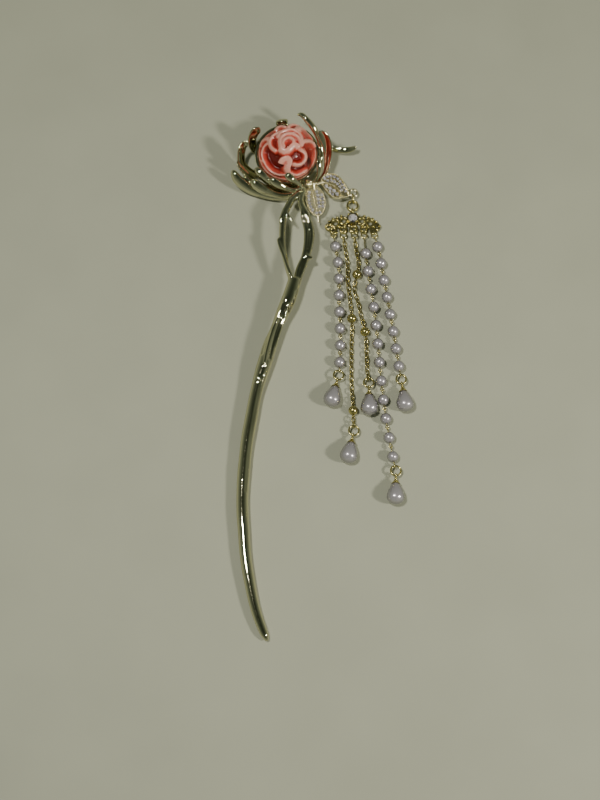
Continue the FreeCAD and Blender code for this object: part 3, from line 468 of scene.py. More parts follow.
def finish(slot):
    if slot not in made_finishes:
        made_finishes[slot] = FINISHES[slot]()
    return made_finishes[slot]


def dress(names, slot, look=None):
    """Gives CAD nodes a finish. Their shapes stay as they are."""
    for name in names:
        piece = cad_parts[name]
        piece.data.materials.clear()
        piece.data.materials.append(finish(look or slot))


# Twig-shaped pin, in millimetres
# columns: x, y, z of the middle, width across
SHANK = [
    (2.9, -48.6, 6.1, 4.7), (1.9, -52.2, 6.0, 4.9), (0.7, -55.9, 5.7, 5.1),
    (-0.5, -58.8, 5.4, 5.0), (-2.3, -62.9, 5.0, 4.3), (-3.8, -67.0, 4.6, 4.1),
    (-5.4, -71.3, 4.2, 4.8), (-7.3, -77.6, 3.7, 5.1), (-8.5, -81.6, 3.4, 5.0),
    (-10.1, -87.3, 3.0, 4.4), (-11.0, -91.4, 2.8, 4.3), (-12.1, -98.0, 2.6, 4.5),
    (-13.3, -104.9, 2.4, 4.5), (-14.1, -111.6, 2.3, 4.3), (-14.6, -118.3, 2.2, 4.4),
    (-14.9, -124.9, 2.1, 4.2), (-14.8, -131.4, 2.1, 4.2), (-14.3, -137.9, 2.05, 4.1),
    (-13.8, -144.5, 2.0, 4.0), (-12.9, -150.9, 1.92, 3.9), (-11.7, -157.3, 1.82, 3.7),
    (-10.2, -163.7, 1.7, 3.45), (-8.0, -170.0, 1.55, 3.1), (-6.7, -173.0, 1.35, 2.3),
    (-6.1, -174.2, 1.2, 0.9),
]
# each limb: widths along it, points
LIMBS = [
    # left fork
    ([(0, 2.0), (0.15, 2.5), (0.3, 2.7), (0.5, 2.3), (0.75, 2.0), (0.95, 1.9), (1, 1.3)],
     [(5.0, -15.5, 6.8), (3.6, -17.0, 7.1), (1.9, -18.9, 7.5), (0.5, -21.7, 7.7),
      (-1.2, -25.8, 7.7), (-1.5, -28.5, 7.6), (-1.7, -32.5, 7.5), (-1.5, -36.7, 7.3),
      (-0.7, -40.8, 7.1), (0.4, -45.5, 6.9), (1.5, -49.4, 6.9)]),
    # right fork, its upper limb and the two that it parts into
    ([(0, 2.2), (0.3, 2.2), (0.7, 2.6), (1, 2.4)],
     [(6.0, -15.5, 6.9), (5.2, -17.4, 7.4), (4.9, -19.6, 7.7), (5.5, -22.2, 7.9),
      (6.6, -24.3, 7.9), (7.5, -26.3, 7.8)]),
    ([(0, 1.5), (0.2, 2.0), (0.7, 1.9), (1, 2.2)],
     [(5.5, -24.4, 8.0), (5.9, -27.0, 7.9), (6.6, -29.4, 7.8), (6.9, -32.5, 7.6),
      (6.6, -37.1, 7.4), (5.6, -41.5, 7.1), (4.2, -44.8, 6.8), (3.4, -48.6, 6.3)]),
    ([(0, 2.0), (0.2, 2.2), (0.7, 2.0), (1, 2.0)],
     [(6.9, -24.6, 7.8), (8.3, -29.0, 7.6), (8.7, -32.5, 7.5), (8.3, -36.4, 7.3),
      (7.4, -39.9, 7.1), (6.5, -42.6, 6.9), (5.2, -46.3, 6.5), (3.9, -50.0, 5.9)]),
    # twigs that lie over the forks and end in blunt tips
    ([(0, 0.8), (0.4, 1.5), (0.85, 1.6), (1, 0.9)],
     [(0.9, -19.0, 8.0), (-0.3, -22.2, 8.4), (-1.3, -24.6, 8.5), (-2.0, -26.8, 8.4),
      (-2.4, -28.4, 8.2)]),
    ([(0, 1.0), (0.1, 1.3), (0.5, 1.5), (0.9, 1.5), (1, 0.9)],
     [(-3.2, -34.2, 8.0), (-2.5, -36.9, 8.0), (-1.7, -39.1, 7.9), (-0.8, -41.6, 7.8),
      (0.0, -44.2, 7.8), (1.0, -46.8, 7.8), (1.7, -49.0, 7.7)]),
    ([(0, 0.9), (0.5, 1.5), (0.9, 1.3), (1, 0.7)],
     [(5.2, -21.2, 8.4), (5.3, -23.4, 8.7), (5.6, -25.9, 8.6), (6.1, -28.4, 8.3)]),
    ([(0, 0.8), (0.5, 1.3), (1, 0.7)],
     [(6.9, -24.0, 8.4), (7.5, -26.6, 8.4), (7.9, -29.2, 8.1)]),
    # thorns and nubs
    ([(0, 1.9), (0.8, 1.2), (1, 0.8)],
     [(-1.3, -34.3, 7.4), (-2.3, -34.3, 7.8), (-3.3, -34.2, 8.0)]),
    ([(0, 1.7), (0.5, 1.2), (1, 0.6)],
     [(-0.4, -23.8, 8.0), (0.6, -26.0, 8.6), (1.9, -27.9, 8.7)]),
    ([(0, 2.6), (0.6, 1.7), (1, 0.9)],
     [(6.8, -40.6, 7.2), (8.0, -41.1, 7.4), (9.1, -41.5, 7.7)]),
    ([(0, 2.6), (0.7, 1.5), (1, 0.8)],
     [(3.4, -50.6, 6.6), (2.3, -55.0, 7.1), (1.2, -59.2, 6.8)]),
]
# bark marks on the upper side: height, half width, points x, y
BARK = [
    (0.42, 0.42, [(-1.3, -58.3), (-3.3, -63.8), (-4.8, -67.1), (-5.8, -70.6), (-7.0, -75.5),
                  (-7.7, -79.9)]),
    (0.40, 0.40, [(0.4, -58.7), (-0.5, -61.6), (-1.2, -64.2), (-2.1, -67.5), (-2.9, -70.4),
                  (-3.5, -73.5)]),
    (-0.50, 0.60, [(-2.0, -63.1), (-3.7, -68.2), (-4.9, -73.0), (-5.8, -77.7)]),
    (-0.30, 0.45, [(-7.5, -70.1), (-8.0, -72.9), (-8.6, -76.0)]),
    (0.22, 0.70, [(-0.6, -56.2), (-0.7, -56.6)]),
    (0.22, 0.70, [(-1.1, -60.5), (-1.2, -60.9)]),
    (0.18, 0.70, [(-9.4, -84.6), (-9.5, -85.0)]),
    (-0.22, 0.50, [(3.3, -54.0), (2.4, -58.0), (1.0, -61.5)]),
    (-0.14, 0.55, [(-8.6, -84.0), (-10.0, -92.0), (-11.6, -101.0), (-13.0, -112.0),
                   (-13.8, -124.0)]),
]


LIMB_FLAT = 0.98          # thickness over width of the limbs
SHANK_FLAT = 0.96         # and of the shank
UPPER_FROM = 0.25         # upward share of the skin's normal from which marks begin
UPPER_FADE = 0.35         # share over which they come to full height


def near_line(points, row):
    """Distance in plan from each point to a row of points."""
    best = np.full(len(points), FAR)
    for a, b in zip(row, row[1:]):
        a, b = np.array(a), np.array(b)
        ab = b - a
        t = np.clip(((points - a) @ ab) / ab.dot(ab), 0.0, 1.0)
        best = np.minimum(best, np.linalg.norm(points - (a + t[:, None] * ab), axis=1))
    return best


def carve(mesh, marks):
    """Raises and sinks marks along the skin's own normal, on its upper side."""
    count = len(mesh.vertices)
    co = np.empty(count * 3)
    no = np.empty(count * 3)
    mesh.vertices.foreach_get("co", co)
    mesh.vertex_normals.foreach_get("vector", no)
    co = co.reshape(-1, 3) / MM
    no = no.reshape(-1, 3)
    amount = np.zeros(count)
    for height, width, row in marks:
        low, high = np.min(row, axis=0) - 4 * width, np.max(row, axis=0) + 4 * width
        inside = np.all((co[:, :2] > low) & (co[:, :2] < high), axis=1)
        gap = near_line(co[inside, :2], row)
        amount[inside] += height * np.exp(-(gap / width) ** 2)
    amount *= np.clip((no[:, 2] - UPPER_FROM) / UPPER_FADE, 0.0, 1.0)
    co += no * amount[:, None]
    mesh.vertices.foreach_set("co", (co * MM).ravel())
    mesh.update()


class HAIRPIN_OT_stick(bpy.types.Operator):
    """Cast the twig-shaped pin with its forks, thorns and bark marks"""
    bl_idname = "hairpin.stick"
    bl_label = "Stick"

    def execute(self, context):
        rows, _ = spline(SHANK, 240)
        steps = np.linalg.norm(np.diff(rows[:, :3], axis=0), axis=1)
        spot = np.concatenate([[0.0], np.cumsum(steps)])
        widths = list(zip(spot / spot[-1], rows[:, 3]))
        parts = [tube(rows[:, :3], widths, ("up", UP), SHANK_FLAT, 700, 48)]
        for widths, points in LIMBS:
            parts.append(tube(points, widths, ("up", UP), LIMB_FLAT, 60, 24))
        verts, faces = joined(parts)
        piece = mesh_piece("twig_pin", verts, faces, finish("champagne_metal"))
        settled(piece, [("REMESH", {"mode": "VOXEL", "voxel_size": sizes().casting_grain}),
                        ("SMOOTH", {"factor": 0.5, "iterations": 10})])
        carve(piece.data, BARK)
        settled(piece, [("SMOOTH", {"factor": 0.5, "iterations": 4})])
        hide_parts("stick")
        return {"FINISHED"}


# Flower cup and claws
# each claw: width, thickness over width, height of the point on the rose's axis that its
# outer face turns away from, hollow of its inner face, points from the calyx to the tip
CLAWS = [
    (2.4, 0.95, 7.5, 0.00, [(5.6, -13.4, 4.2), (9.4, -9.4, 2.6), (12.2, -2.6, 2.6),
                            (12.2, 3.0, 4.8), (10.8, 6.2, 7.4), (8.8, 8.8, 9.8),
                            (6.6, 11.0, 11.0), (4.8, 12.5, 11.1), (3.5, 12.6, 10.5)]),
    (4.4, 0.40, 28.0, 1.20, [(5.8, -13.9, 4.4), (10.0, -11.8, 3.9), (13.2, -8.2, 4.5),
                             (14.5, -2.9, 6.6), (14.3, 1.5, 8.7), (12.8, 4.5, 10.2),
                             (11.3, 6.1, 10.9)]),
    (2.3, 0.80, -8.0, 0.00, [(6.0, -14.0, 5.4), (8.9, -12.6, 5.2), (11.1, -10.0, 6.6),
                             (11.6, -7.0, 8.8), (10.9, -4.6, 10.4)]),
    (2.8, 0.72, -8.0, 0.00, [(5.4, -14.6, 7.0), (4.9, -14.2, 8.3), (3.5, -13.4, 9.6),
                             (1.5, -12.4, 10.8), (-0.6, -10.9, 11.6)]),
    (3.1, 0.70, -8.0, 0.00, [(4.6, -15.0, 6.0), (1.6, -15.1, 6.8), (-1.0, -14.6, 7.9),
                             (-3.7, -13.5, 9.0), (-6.1, -12.0, 9.9)]),
    (3.4, 0.85, -8.0, 0.00, [(4.6, -14.2, 4.9), (1.0, -14.2, 4.6), (-2.6, -13.6, 5.4),
                             (-6.1, -12.1, 7.0), (-9.4, -9.7, 9.2), (-11.4, -7.9, 9.9)]),
    (3.9, 0.80, -10.0, 0.00, [(4.4, -15.0, 4.9), (-0.6, -16.4, 4.7), (-5.3, -15.8, 5.5),
                              (-9.8, -14.1, 7.2), (-12.8, -12.1, 8.7)]),
    (4.1, 0.76, -12.0, 0.00, [(4.6, -14.8, 4.6), (0.6, -16.2, 3.2), (-4.9, -16.0, 2.5),
                              (-10.9, -14.3, 2.9), (-15.5, -11.9, 4.0), (-18.2, -9.7, 5.4),
                              (-19.5, -7.4, 7.2)]),
    (4.8, 0.42, 24.0, 1.25, [(4.4, -12.4, 3.6), (0.0, -11.0, 2.0), (-6.2, -8.4, 1.5),
                             (-13.0, -6.0, 2.2), (-16.0, -4.2, 4.6), (-16.5, -2.2, 6.8),
                             (-16.2, -0.5, 8.6), (-15.3, 1.0, 10.0), (-14.0, 1.8, 10.5)]),
    (4.0, 0.45, 20.0, 1.20, [(4.5, -13.6, 4.4), (0.6, -13.2, 3.0), (-5.6, -12.2, 2.4),
                             (-11.3, -10.4, 3.6), (-14.6, -7.9, 5.3), (-16.8, -6.1, 7.3),
                             (-18.0, -4.8, 8.9)]),
    (4.4, 0.50, 24.0, 1.00, [(-2.0, -6.0, 0.9), (-7.4, -1.0, 0.9), (-11.7, 2.8, 2.3),
                             (-12.6, 4.2, 5.0), (-12.3, 5.4, 7.6), (-11.2, 6.5, 9.8),
                             (-9.8, 7.3, 11.0)]),
    (4.6, 0.30, 7.5, 0.80, [(0.0, 0.0, 1.2), (-1.2, 6.6, 1.5), (-2.0, 11.2, 3.2),
                            (-2.0, 12.2, 5.8), (-1.9, 11.6, 8.0), (-1.7, 10.5, 9.3)]),
    (5.0, 0.34, 30.0, 0.90, [(3.0, -14.2, 3.9), (-3.5, -14.0, 3.6), (-9.5, -12.4, 3.4),
                             (-13.2, -10.0, 3.9), (-15.4, -7.9, 4.8)]),
    (2.4, 0.70, 7.5, 0.40, [(5.0, 0.0, 1.4), (9.6, 2.2, 1.5), (13.0, 3.0, 1.9),
                            (16.2, 2.9, 2.3), (19.3, 2.5, 2.6), (22.6, 2.4, 3.3),
                            (25.2, 2.8, 5.0)]),
]
CLAW_OUTLINE = [(0, 0.5), (0.25, 0.5), (0.5, 0.64), (0.66, 0.92), (0.78, 1.0), (0.88, 0.96),
                (0.95, 0.75), (0.985, 0.45), (1, 0.16)]
KNOB = (5.2, -14.6, 6.0)
KNOB_RADIUS = 1.9
ROSE_PLAY = 0.25          # glue gap between rose and bowl
# outside of the bowl above its flat back: radius, height
BOWL_SIDE = [(8.6, 0.6), (9.8, 1.5), (11.2, 3.2), (11.8, 4.6), (11.7, 5.0)]
BOWL_ANGLES = range(102, 166, 8)    # degrees from the crown along the bowl's inner side
BOWL_FLOOR = 1.65         # height of the bowl's inner floor
# neck from the bowl to the knob: points, widths along it, thickness over width
NECK = [(3.2, -7.6, 1.65), (4.4, -11.2, 3.1), (5.1, -14.0, 5.2)]
NECK_WIDTHS = [(0, 4.8), (0.5, 4.4), (1, 3.2)]
NECK_FLAT = 0.55
CUP_GRAIN = 0.9           # the cup's finest detail over the casting grain


class HAIRPIN_OT_cup(bpy.types.Operator):
    """Cast the flower cup with its bowl, calyx knob and spoon-shaped claws"""
    bl_idname = "hairpin.cup"
    bl_label = "Cup and claws"

    def execute(self, context):
        s = sizes()
        radius, belly = s.rose_radius / MM + ROSE_PLAY, s.rose_belly / MM + ROSE_PLAY
        rows = [(0, 0), (s.back_radius / MM, 0), *BOWL_SIDE]
        for polar in BOWL_ANGLES:
            a = math.radians(polar)
            rows.append((radius * math.sin(a), s.rose_level / MM + belly * math.cos(a)))
        rows.append((0, BOWL_FLOOR))
        parts = [lathe(rows), ball(KNOB, KNOB_RADIUS, 16, 24)]
        parts.append(tube(NECK, NECK_WIDTHS, ("up", UP), NECK_FLAT, 20, 24))
        for width, flat, low, dish, points in CLAWS:
            widths = [(t, width * share) for t, share in CLAW_OUTLINE]
            parts.append(tube(points, widths, ("from", (0, 0, low)), flat, 110, 32, dish))
        verts, faces = joined(parts)
        piece = mesh_piece("claw_cup", verts, faces, finish("champagne_metal"))
        settled(piece, [("REMESH", {"mode": "VOXEL", "voxel_size": s.casting_grain * CUP_GRAIN}),
                        ("SMOOTH", {"factor": 0.5, "iterations": 8})])
        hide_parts("petal_cup")
        return {"FINISHED"}


# Rose
# each petal rim: lift over the dome, depth of the hollow inside it, width of that step,
# depth outside it, reach outside it, then x, y of points along the rim (bud side on the left)
ROSE_RIMS = [
    (0.5, 1.6, 0.5, 1.0, 1.2, [(1.9, -0.5), (2.0, 0.9), (0.8, 1.6), (-0.5, 1.1), (-1.2, 0.0),
                               (-0.8, -1.5)]),
    (0.4, 2.0, 0.6, 1.4, 1.8, [(4.7, -0.6), (4.4, 1.2), (3.2, 2.8), (1.4, 3.5), (-0.4, 3.2),
                               (-1.9, 1.8), (-2.2, 0.0), (-1.9, -1.8)]),
    (0.4, 2.0, 0.6, 2.0, 3.2, [(-2.0, -1.7), (-0.8, -2.6), (0.3, -2.1), (1.4, -0.9), (2.5, -0.2),
                               (3.7, -0.4), (4.6, -1.1)]),
    (0.2, 1.6, 0.6, 1.8, 2.4, [(5.7, 0.1), (5.1, 1.8), (4.7, 3.5), (3.4, 5.0), (1.6, 5.7),
                               (-0.4, 5.3), (-2.2, 4.1), (-3.1, 2.2)]),
    (0.1, 1.8, 0.8, 2.0, 2.4, [(-2.2, 4.7), (-4.1, 3.9), (-5.6, 2.7), (-6.2, 1.0), (-5.6, -1.2),
                               (-4.0, -2.6)]),
    (0.1, 2.4, 0.8, 2.2, 4.5, [(-3.1, -6.8), (-2.2, -5.7), (-0.8, -5.2), (0.7, -5.2),
                               (1.7, -6.2), (1.6, -7.5), (1.0, -8.7), (1.2, -9.7)]),
    (0.1, 2.4, 0.8, 2.0, 2.8, [(2.5, -7.2), (4.4, -7.1), (5.9, -6.1), (6.6, -4.8), (6.2, -3.5),
                               (4.8, -2.9)]),
    (0.2, 1.6, 0.7, 2.4, 2.8, [(10.3, 1.5), (9.4, 2.1), (7.8, 1.5), (6.2, 0.5), (5.6, -0.9)]),
    (0.2, 1.0, 2.6, 2.0, 2.4, [(9.3, 5.3), (8.6, 6.4), (7.0, 8.1), (5.0, 8.4), (3.8, 6.0)]),
    (0.3, 1.8, 0.8, 2.0, 2.0, [(4.2, 6.5), (4.2, 9.2), (2.9, 9.6), (1.4, 8.5), (0.7, 6.9)]),
    (0.0, 1.0, 2.0, 2.0, 2.4, [(-0.7, 7.3), (-2.0, 8.1), (-3.4, 7.8), (-4.1, 6.0)]),
    (-0.1, 1.2, 2.0, 2.0, 2.4, [(-6.8, 1.7), (-7.7, 2.9), (-8.9, 3.1), (-9.7, 2.4),
                                (-10.1, 1.1)]),
    (0.0, 2.6, 0.9, 2.2, 2.6, [(-7.0, 0.4), (-8.4, -0.3), (-9.2, -1.7), (-9.0, -3.7),
                               (-8.1, -5.9), (-6.6, -7.9), (-4.5, -9.3), (-2.2, -10.0),
                               (-0.4, -10.1)]),
    (0.0, 2.4, 0.9, 2.0, 2.4, [(1.2, -9.7), (2.8, -9.9), (4.6, -9.4), (6.2, -8.4), (7.3, -7.5)]),
]
ROSE_DEEPEST = 2.6        # mm below the dome where no petal reaches
ROSE_RINGS = 230
ROSE_SPOKES = 360
ROSE_END = 159.0          # degrees from the crown to the edge of the flat underside
RIM_SLOPE = 0.9           # fall per mm beyond a petal's outer reach
RIM_END = 1.1             # fall per mm beyond the ends of its rim
HOLLOW_SLOPE = 0.25       # fall per mm beyond its inner step


def petal_heights(n, radius):
    """Height of the petals over the dome in each direction n.

    Each petal falls away on both sides of its rim, and the highest petal is the one seen.
    """
    high = np.full(len(n), -ROSE_DEEPEST)
    for lift, inside, step, outside, reach, rim in ROSE_RIMS:
        fine, _ = spline([(x, y, 0.0) for x, y in rim], 6 * len(rim))
        uv = fine[:, :2] / radius
        points = np.column_stack([uv, np.sqrt(np.maximum(0.0, 1.0 - (uv ** 2).sum(axis=1)))])
        best = np.full(len(n), FAR)
        side = np.ones(len(n))
        beyond = np.zeros(len(n))
        last = len(points) - 2
        for i in range(last + 1):
            a, ab = points[i], points[i + 1] - points[i]
            an = n - a
            t = (an @ ab) / ab.dot(ab)
            cut = np.clip(t, 0.0, 1.0)
            gap = np.linalg.norm(an - cut[:, None] * ab, axis=1) * radius
            nearer = gap < best
            facing = np.einsum("ij,ij->i", np.cross(ab, an), n)
            past = (t < 0) if i == 0 else ((t > 1) if i == last else np.zeros(len(n), bool))
            over = np.where(past, np.abs(t - cut) * np.linalg.norm(ab) * radius, 0.0)
            best = np.where(nearer, gap, best)
            side = np.where(nearer, np.where(facing > 0, -1.0, 1.0), side)
            beyond = np.where(nearer, over, beyond)
        s = best * side
        outer = outside * (1.0 - np.cos(np.minimum(s / reach, 1.0) * math.pi / 2.0))
        outer += np.maximum(0.0, s - reach) * RIM_SLOPE
        q = np.minimum(-s / step, 1.0)
        inner = inside * q * q * (3.0 - 2.0 * q) + np.maximum(0.0, -s - step) * HOLLOW_SLOPE
        down = np.where(s > 0, outer, inner)
        high = np.maximum(high, lift - down - beyond * RIM_END)
    return high


class HAIRPIN_OT_rose(bpy.types.Operator):
    """Cast the resin rose with its petals"""
    bl_idname = "hairpin.rose"
    bl_label = "Rose"

    def execute(self, context):
        s = sizes()
        radius, level = s.rose_radius / MM, s.rose_level / MM
        dome, belly, floor = s.rose_dome / MM, s.rose_belly / MM, s.rose_floor / MM
        polar = np.radians(ROSE_END) * np.arange(1, ROSE_RINGS + 1) / ROSE_RINGS
        turn = 2 * math.pi * np.arange(ROSE_SPOKES) / ROSE_SPOKES
        p, t = np.meshgrid(polar, turn, indexing="ij")
        n = np.column_stack([(np.sin(p) * np.cos(t)).ravel(), (np.sin(p) * np.sin(t)).ravel(),
                             np.cos(p).ravel()])
        n = np.vstack([n, [[0.0, 0.0, 1.0]]])
        relief = petal_heights(n, radius) * np.clip((n[:, 2] + 0.2) / 0.5, 0.0, 1.0)
        scale = 1.0 + relief / radius
        tall = np.where(n[:, 2] >= 0, dome, belly)
        verts = np.column_stack([n[:, 0] * radius * scale, n[:, 1] * radius * scale,
                                 np.maximum(level + tall * n[:, 2] * scale, floor)])
        verts = np.vstack([verts, [[0.0, 0.0, floor]]])
        faces = []
        top, foot = len(verts) - 2, len(verts) - 1
        for j in range(ROSE_SPOKES):
            k = (j + 1) % ROSE_SPOKES
            faces.append((top, j, k))
            for i in range(ROSE_RINGS - 1):
                a, b = i * ROSE_SPOKES, (i + 1) * ROSE_SPOKES
                faces.append((a + j, b + j, b + k, a + k))
            low = (ROSE_RINGS - 1) * ROSE_SPOKES
            faces.append((foot, low + k, low + j))
        piece = mesh_piece("rose_petals", verts, faces, finish("rose_resin"))
        # hollow attribute: depth below the dome, for the red in the hollows and the painted shade
        # that deepens it
        shade = piece.data.attributes.new("hollow", "FLOAT", "POINT")
        hollow_and_shade = np.append(np.clip(-relief / ROSE_DEEPEST, 0.0, 1.0), 1.0)
        shade.data.foreach_set("value", hollow_and_shade)
        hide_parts("rose")
        return {"FINISHED"}


# Leaves, in millimetres: base and tip of the sloping plane, outline, and the stone rows as
# stone radius and the points that the row runs through
LEAVES = [
    ((12.0, -11.4, 6.6), (22.5, -15.6, 3.0),
     [(12.0, -10.9), (13.5, -8.8), (15.8, -8.0), (17.6, -8.2), (19.2, -9.2), (20.5, -10.8),
      (21.5, -12.5), (22.2, -14.0), (22.6, -15.4), (21.2, -16.3), (19.6, -16.8), (18.0, -17.1),
      (16.5, -16.8), (15.2, -16.0), (14.1, -14.9), (13.1, -13.6), (12.2, -12.3)],
     [(12.6, -11.7), (14.2, -12.0), (16.2, -12.5), (17.8, -13.5), (19.0, -14.8), (19.7, -16.2)],
     [(0.60, [(13.4, -10.2), (15.2, -9.2), (17.0, -9.2), (18.6, -10.2), (19.9, -11.9),
              (20.9, -13.7), (21.5, -15.1)]),
      (0.60, [(14.5, -11.0), (15.8, -10.7), (17.2, -11.1), (18.6, -12.2), (19.45, -13.6),
              (19.9, -14.8)]),
      (0.74, [(14.05, -13.1), (15.35, -13.75), (16.6, -14.2), (17.7, -15.3), (18.6, -16.0)]),
      (0.52, [(15.4, -15.0), (16.4, -15.8)])]),
    ((9.6, -13.4, 6.9), (10.9, -23.8, 3.3),
     [(10.5, -13.5), (8.8, -13.8), (7.5, -14.6), (6.7, -16.0), (6.6, -17.8), (6.9, -19.5),
      (7.6, -21.4), (8.7, -22.8), (10.1, -23.6), (11.4, -23.6), (12.8, -22.6), (13.5, -21.0),
      (13.9, -18.9), (13.5, -17.3), (13.1, -16.0), (12.3, -14.8)],
     [(9.1, -14.9), (9.3, -16.8), (9.7, -18.6), (10.2, -20.4), (10.6, -21.6)],
     [(0.58, [(8.0, -15.75), (7.75, -17.1), (7.9, -18.9), (8.5, -20.6), (9.3, -21.9)]),
      (0.60, [(10.5, -15.4), (11.0, -16.8), (11.2, -18.3), (11.4, -20.0), (11.5, -21.6)]),
      (0.60, [(12.3, -16.5), (12.6, -17.8), (12.8, -19.3), (12.6, -20.8)]),
      (0.56, [(10.5, -22.6), (11.8, -22.4)])]),
]
RIM_BEAD = 0.26           # radius of the beads along a leaf's rim
RIM_INSET = 0.2           # how far they lie inside the outline
RIM_SINK = 0.12           # and below the leaf's plane
RIB_BEAD = 0.3            # radius of the beads along the midrib
STONE_GAP = 0.14          # gap between neighbouring stones
GRAIN_GAP = 0.06          # from a stone's edge to the middle of its grains


def leaf_plane(base, tip, points, lift):
    """Points x, y lifted onto a leaf's plane and by lift along its normal, and the normal."""
    base = np.array(base)
    along = unit(np.array(tip) - base)
    normal = unit(UP - along * along[2])
    points = np.asarray(points, float)
    z = base[2] - (points - base[:2]) @ normal[:2] / normal[2]
    return np.column_stack([points, z]) + normal * lift, normal


class HAIRPIN_OT_leaves(bpy.types.Operator):
    """Finish the leaf trays and their stones, and add the grained rims and setting grains"""
    bl_idname = "hairpin.leaves"
    bl_label = "Leaves and stones"

    def execute(self, context):
        dress(["leaf_sprig"], "champagne_metal", "bright_metal")
        dress(["stones_leaf_right", "stones_leaf_down"], "clear_stone")
        grain = sizes().prong / MM
        parts = []
        for base, tip, outline, midrib, rows in LEAVES:
            line, _ = leaf_plane(base, tip, outline + outline[:1], -RIM_SINK)
            closed, _ = spline(line, 150)
            middle = closed.mean(axis=0)
            for p in closed[:-1:2]:
                parts.append(ball(p + unit(middle - p) * RIM_INSET, RIM_BEAD, 6, 8))
            rib, _ = leaf_plane(base, tip, midrib, 0.02)
            for p in spline(rib, 18)[0]:
                parts.append(ball(p, RIB_BEAD, 6, 8))
            for radius, points in rows:
                line, normal = leaf_plane(base, tip, points, 0.0)
                reach = np.linalg.norm(np.diff(line, axis=0), axis=1).sum()
                count = max(2, int(reach / (2 * radius + STONE_GAP)) + 1)
                centres, way = spline(line, 2 * count)
                for p, along in zip(centres, way):
                    side = unit(np.cross(normal, along))
                    for turn in (-1.0, 1.0):
                        spot = p + side * turn * (radius + GRAIN_GAP)
                        parts.append(ball(spot, grain, 6, 8))
        verts, faces = joined(parts)
        mesh_piece("leaf_grains", verts, faces, finish("bright_metal"))
        return {"FINISHED"}


class HAIRPIN_OT_connector(bpy.types.Operator):
    """Finish the connector, its stone and the two jump rings"""
    bl_idname = "hairpin.connector"
    bl_label = "Connector"

    def execute(self, context):
        dress(["connector", "jump_ring_upper", "jump_ring_lower"], "gold_metal")
        dress(["connector_stone"], "clear_stone")
        return {"FINISHED"}


class HAIRPIN_OT_strands(bpy.types.Operator):
    """Finish the pearl strands, chains, rings, caps and drops"""
    bl_idname = "hairpin.strands"
    bl_label = "Strands"

    def execute(self, context):
        dress(["pearls_%d" % i for i in (1, 4, 5)], "pearl")
        dress(["drop_%d" % i for i in range(1, 6)], "pearl")
        dress(["pins_%d" % i for i in (1, 4, 5)], "gold_metal")
        dress(["chain_2", "chain_3", "beads_2", "beads_3"], "gold_metal")
        dress(["end_ring_%d" % i for i in range(1, 6)], "gold_metal")
        dress(["drop_cap_%d" % i for i in range(1, 6)], "gold_metal")
        return {"FINISHED"}


# Stage
TARGET = Vector((4.6, -91.1, 0.0)) * MM
TILT = math.radians(74.0)
DISTANCE = 500.0 * MM
LENS = 64.85              # mm on a 36 mm film back
# lamps: direction from the target, distance in m, size in m, power in W, colour
LAMPS = [
    ("lamp_left", (-0.255, 0.03, 0.966), 0.62, 0.07, 2.2, "#FFFAF0"),
    ("lamp_right", (0.73, -0.257, 0.627), 0.62, 0.07, 2.4, "#FFF8EC"),
]
# surroundings: height as the sine of the elevation, colour
SKY = [(0.0, "#C4C8B6"), (0.3, "#B4B9A6"), (0.6, "#8B9280"), (0.88, "#5F675A"), (1.0, "#474E43")]
WORLD_STRENGTH = 0.5
FLOOR_HALF = 1.5          # m
FLOOR_DROP = 0.00005      # m, so that floor and flat backs don't share a plane


def aimed(piece, place, target):
    """Puts a lamp or camera at place, looking at target."""
    piece.location = place
    piece.rotation_euler = (target - place).to_track_quat("-Z", "Y").to_euler()


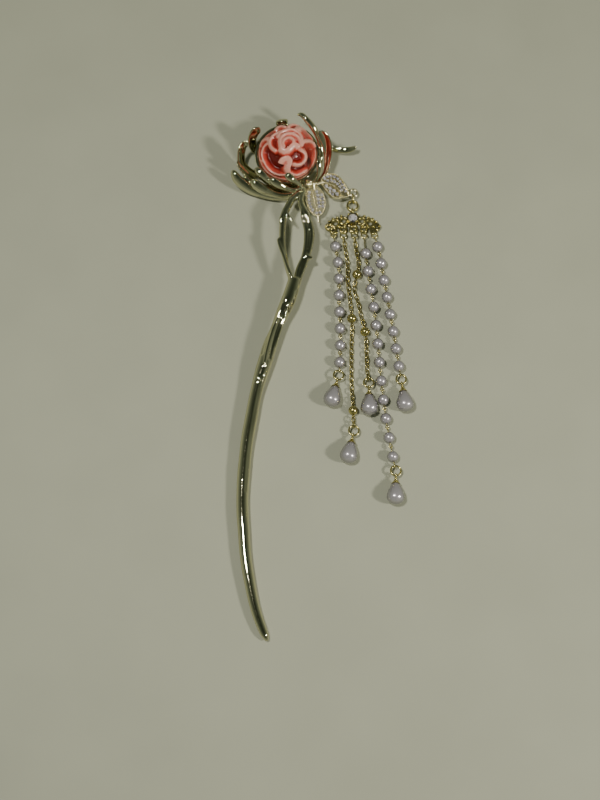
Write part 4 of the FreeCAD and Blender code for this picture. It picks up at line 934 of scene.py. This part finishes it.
class HAIRPIN_OT_stage(bpy.types.Operator):
    """Set up floor, lamps, surroundings and camera"""
    bl_idname = "hairpin.stage"
    bl_label = "Stage"

    def execute(self, context):
        scene = bpy.context.scene
        mesh = bpy.data.meshes.new("floor")
        half = FLOOR_HALF
        corners = [(-half, -half, 0), (half, -half, 0), (half, half, 0), (-half, half, 0)]
        mesh.from_pydata(corners, [], [(0, 1, 2, 3)])
        mesh.materials.append(studio_floor())
        floor = bpy.data.objects.new("floor", mesh)
        scene.collection.objects.link(floor)
        floor.location.z = -FLOOR_DROP
        for name, way, far, size, power, tint in LAMPS:
            lamp = bpy.data.lights.new(name, "AREA")
            lamp.shape = "DISK"
            lamp.size = size
            lamp.energy = power
            lamp.color = linear(tint)
            holder = bpy.data.objects.new(name, lamp)
            scene.collection.objects.link(holder)
            aimed(holder, TARGET + Vector(way).normalized() * far, TARGET)
        world = bpy.data.worlds.new("studio")
        world.use_nodes = True
        tree = world.node_tree
        place = node(tree, "ShaderNodeTexCoord")
        parts = node(tree, "ShaderNodeSeparateXYZ", links={"Vector": place.outputs["Generated"]})
        sky = ramp(tree, parts.outputs["Z"], [(height, linear(code)) for height, code in SKY])
        back = tree.nodes["Background"]
        tree.links.new(sky, back.inputs["Color"])
        back.inputs["Strength"].default_value = WORLD_STRENGTH
        scene.world = world
        camera = bpy.data.cameras.new("camera")
        camera.lens = LENS
        camera.clip_start = 0.01
        holder = bpy.data.objects.new("camera", camera)
        scene.collection.objects.link(holder)
        aimed(holder, TARGET + DISTANCE * Vector((0, -math.cos(TILT), math.sin(TILT))), TARGET)
        scene.camera = holder
        return {"FINISHED"}


OPERATORS = [HAIRPIN_OT_stick, HAIRPIN_OT_cup, HAIRPIN_OT_rose, HAIRPIN_OT_leaves,
             HAIRPIN_OT_connector, HAIRPIN_OT_strands, HAIRPIN_OT_stage]


class HAIRPIN_PT_panel(bpy.types.Panel):
    """Sizes, colours and pieces of the hairpin"""
    bl_idname = "HAIRPIN_PT_panel"
    bl_label = "Hairpin"
    bl_space_type = "VIEW_3D"
    bl_region_type = "UI"
    bl_category = "Hairpin"

    def draw(self, context):
        for group in (context.scene.hairpin_sizes, context.scene.hairpin_colours):
            box = self.layout.box()
            for key in group.__annotations__:
                box.prop(group, key)
        for operator in OPERATORS:
            self.layout.operator(operator.bl_idname)


CLASSES = [HairpinSizes, HairpinColours, *OPERATORS, HAIRPIN_PT_panel]


def register():
    for cls in CLASSES:
        bpy.utils.register_class(cls)
    bpy.types.Scene.hairpin_sizes = bpy.props.PointerProperty(type=HairpinSizes)
    bpy.types.Scene.hairpin_colours = bpy.props.PointerProperty(type=HairpinColours)


def unregister():
    del bpy.types.Scene.hairpin_sizes
    del bpy.types.Scene.hairpin_colours
    for cls in reversed(CLASSES):
        bpy.utils.unregister_class(cls)


def main():
    register()
    for operator in OPERATORS:
        group, name = operator.bl_idname.split(".")
        getattr(getattr(bpy.ops, group), name)()


if __name__ == "__main__":
    main()
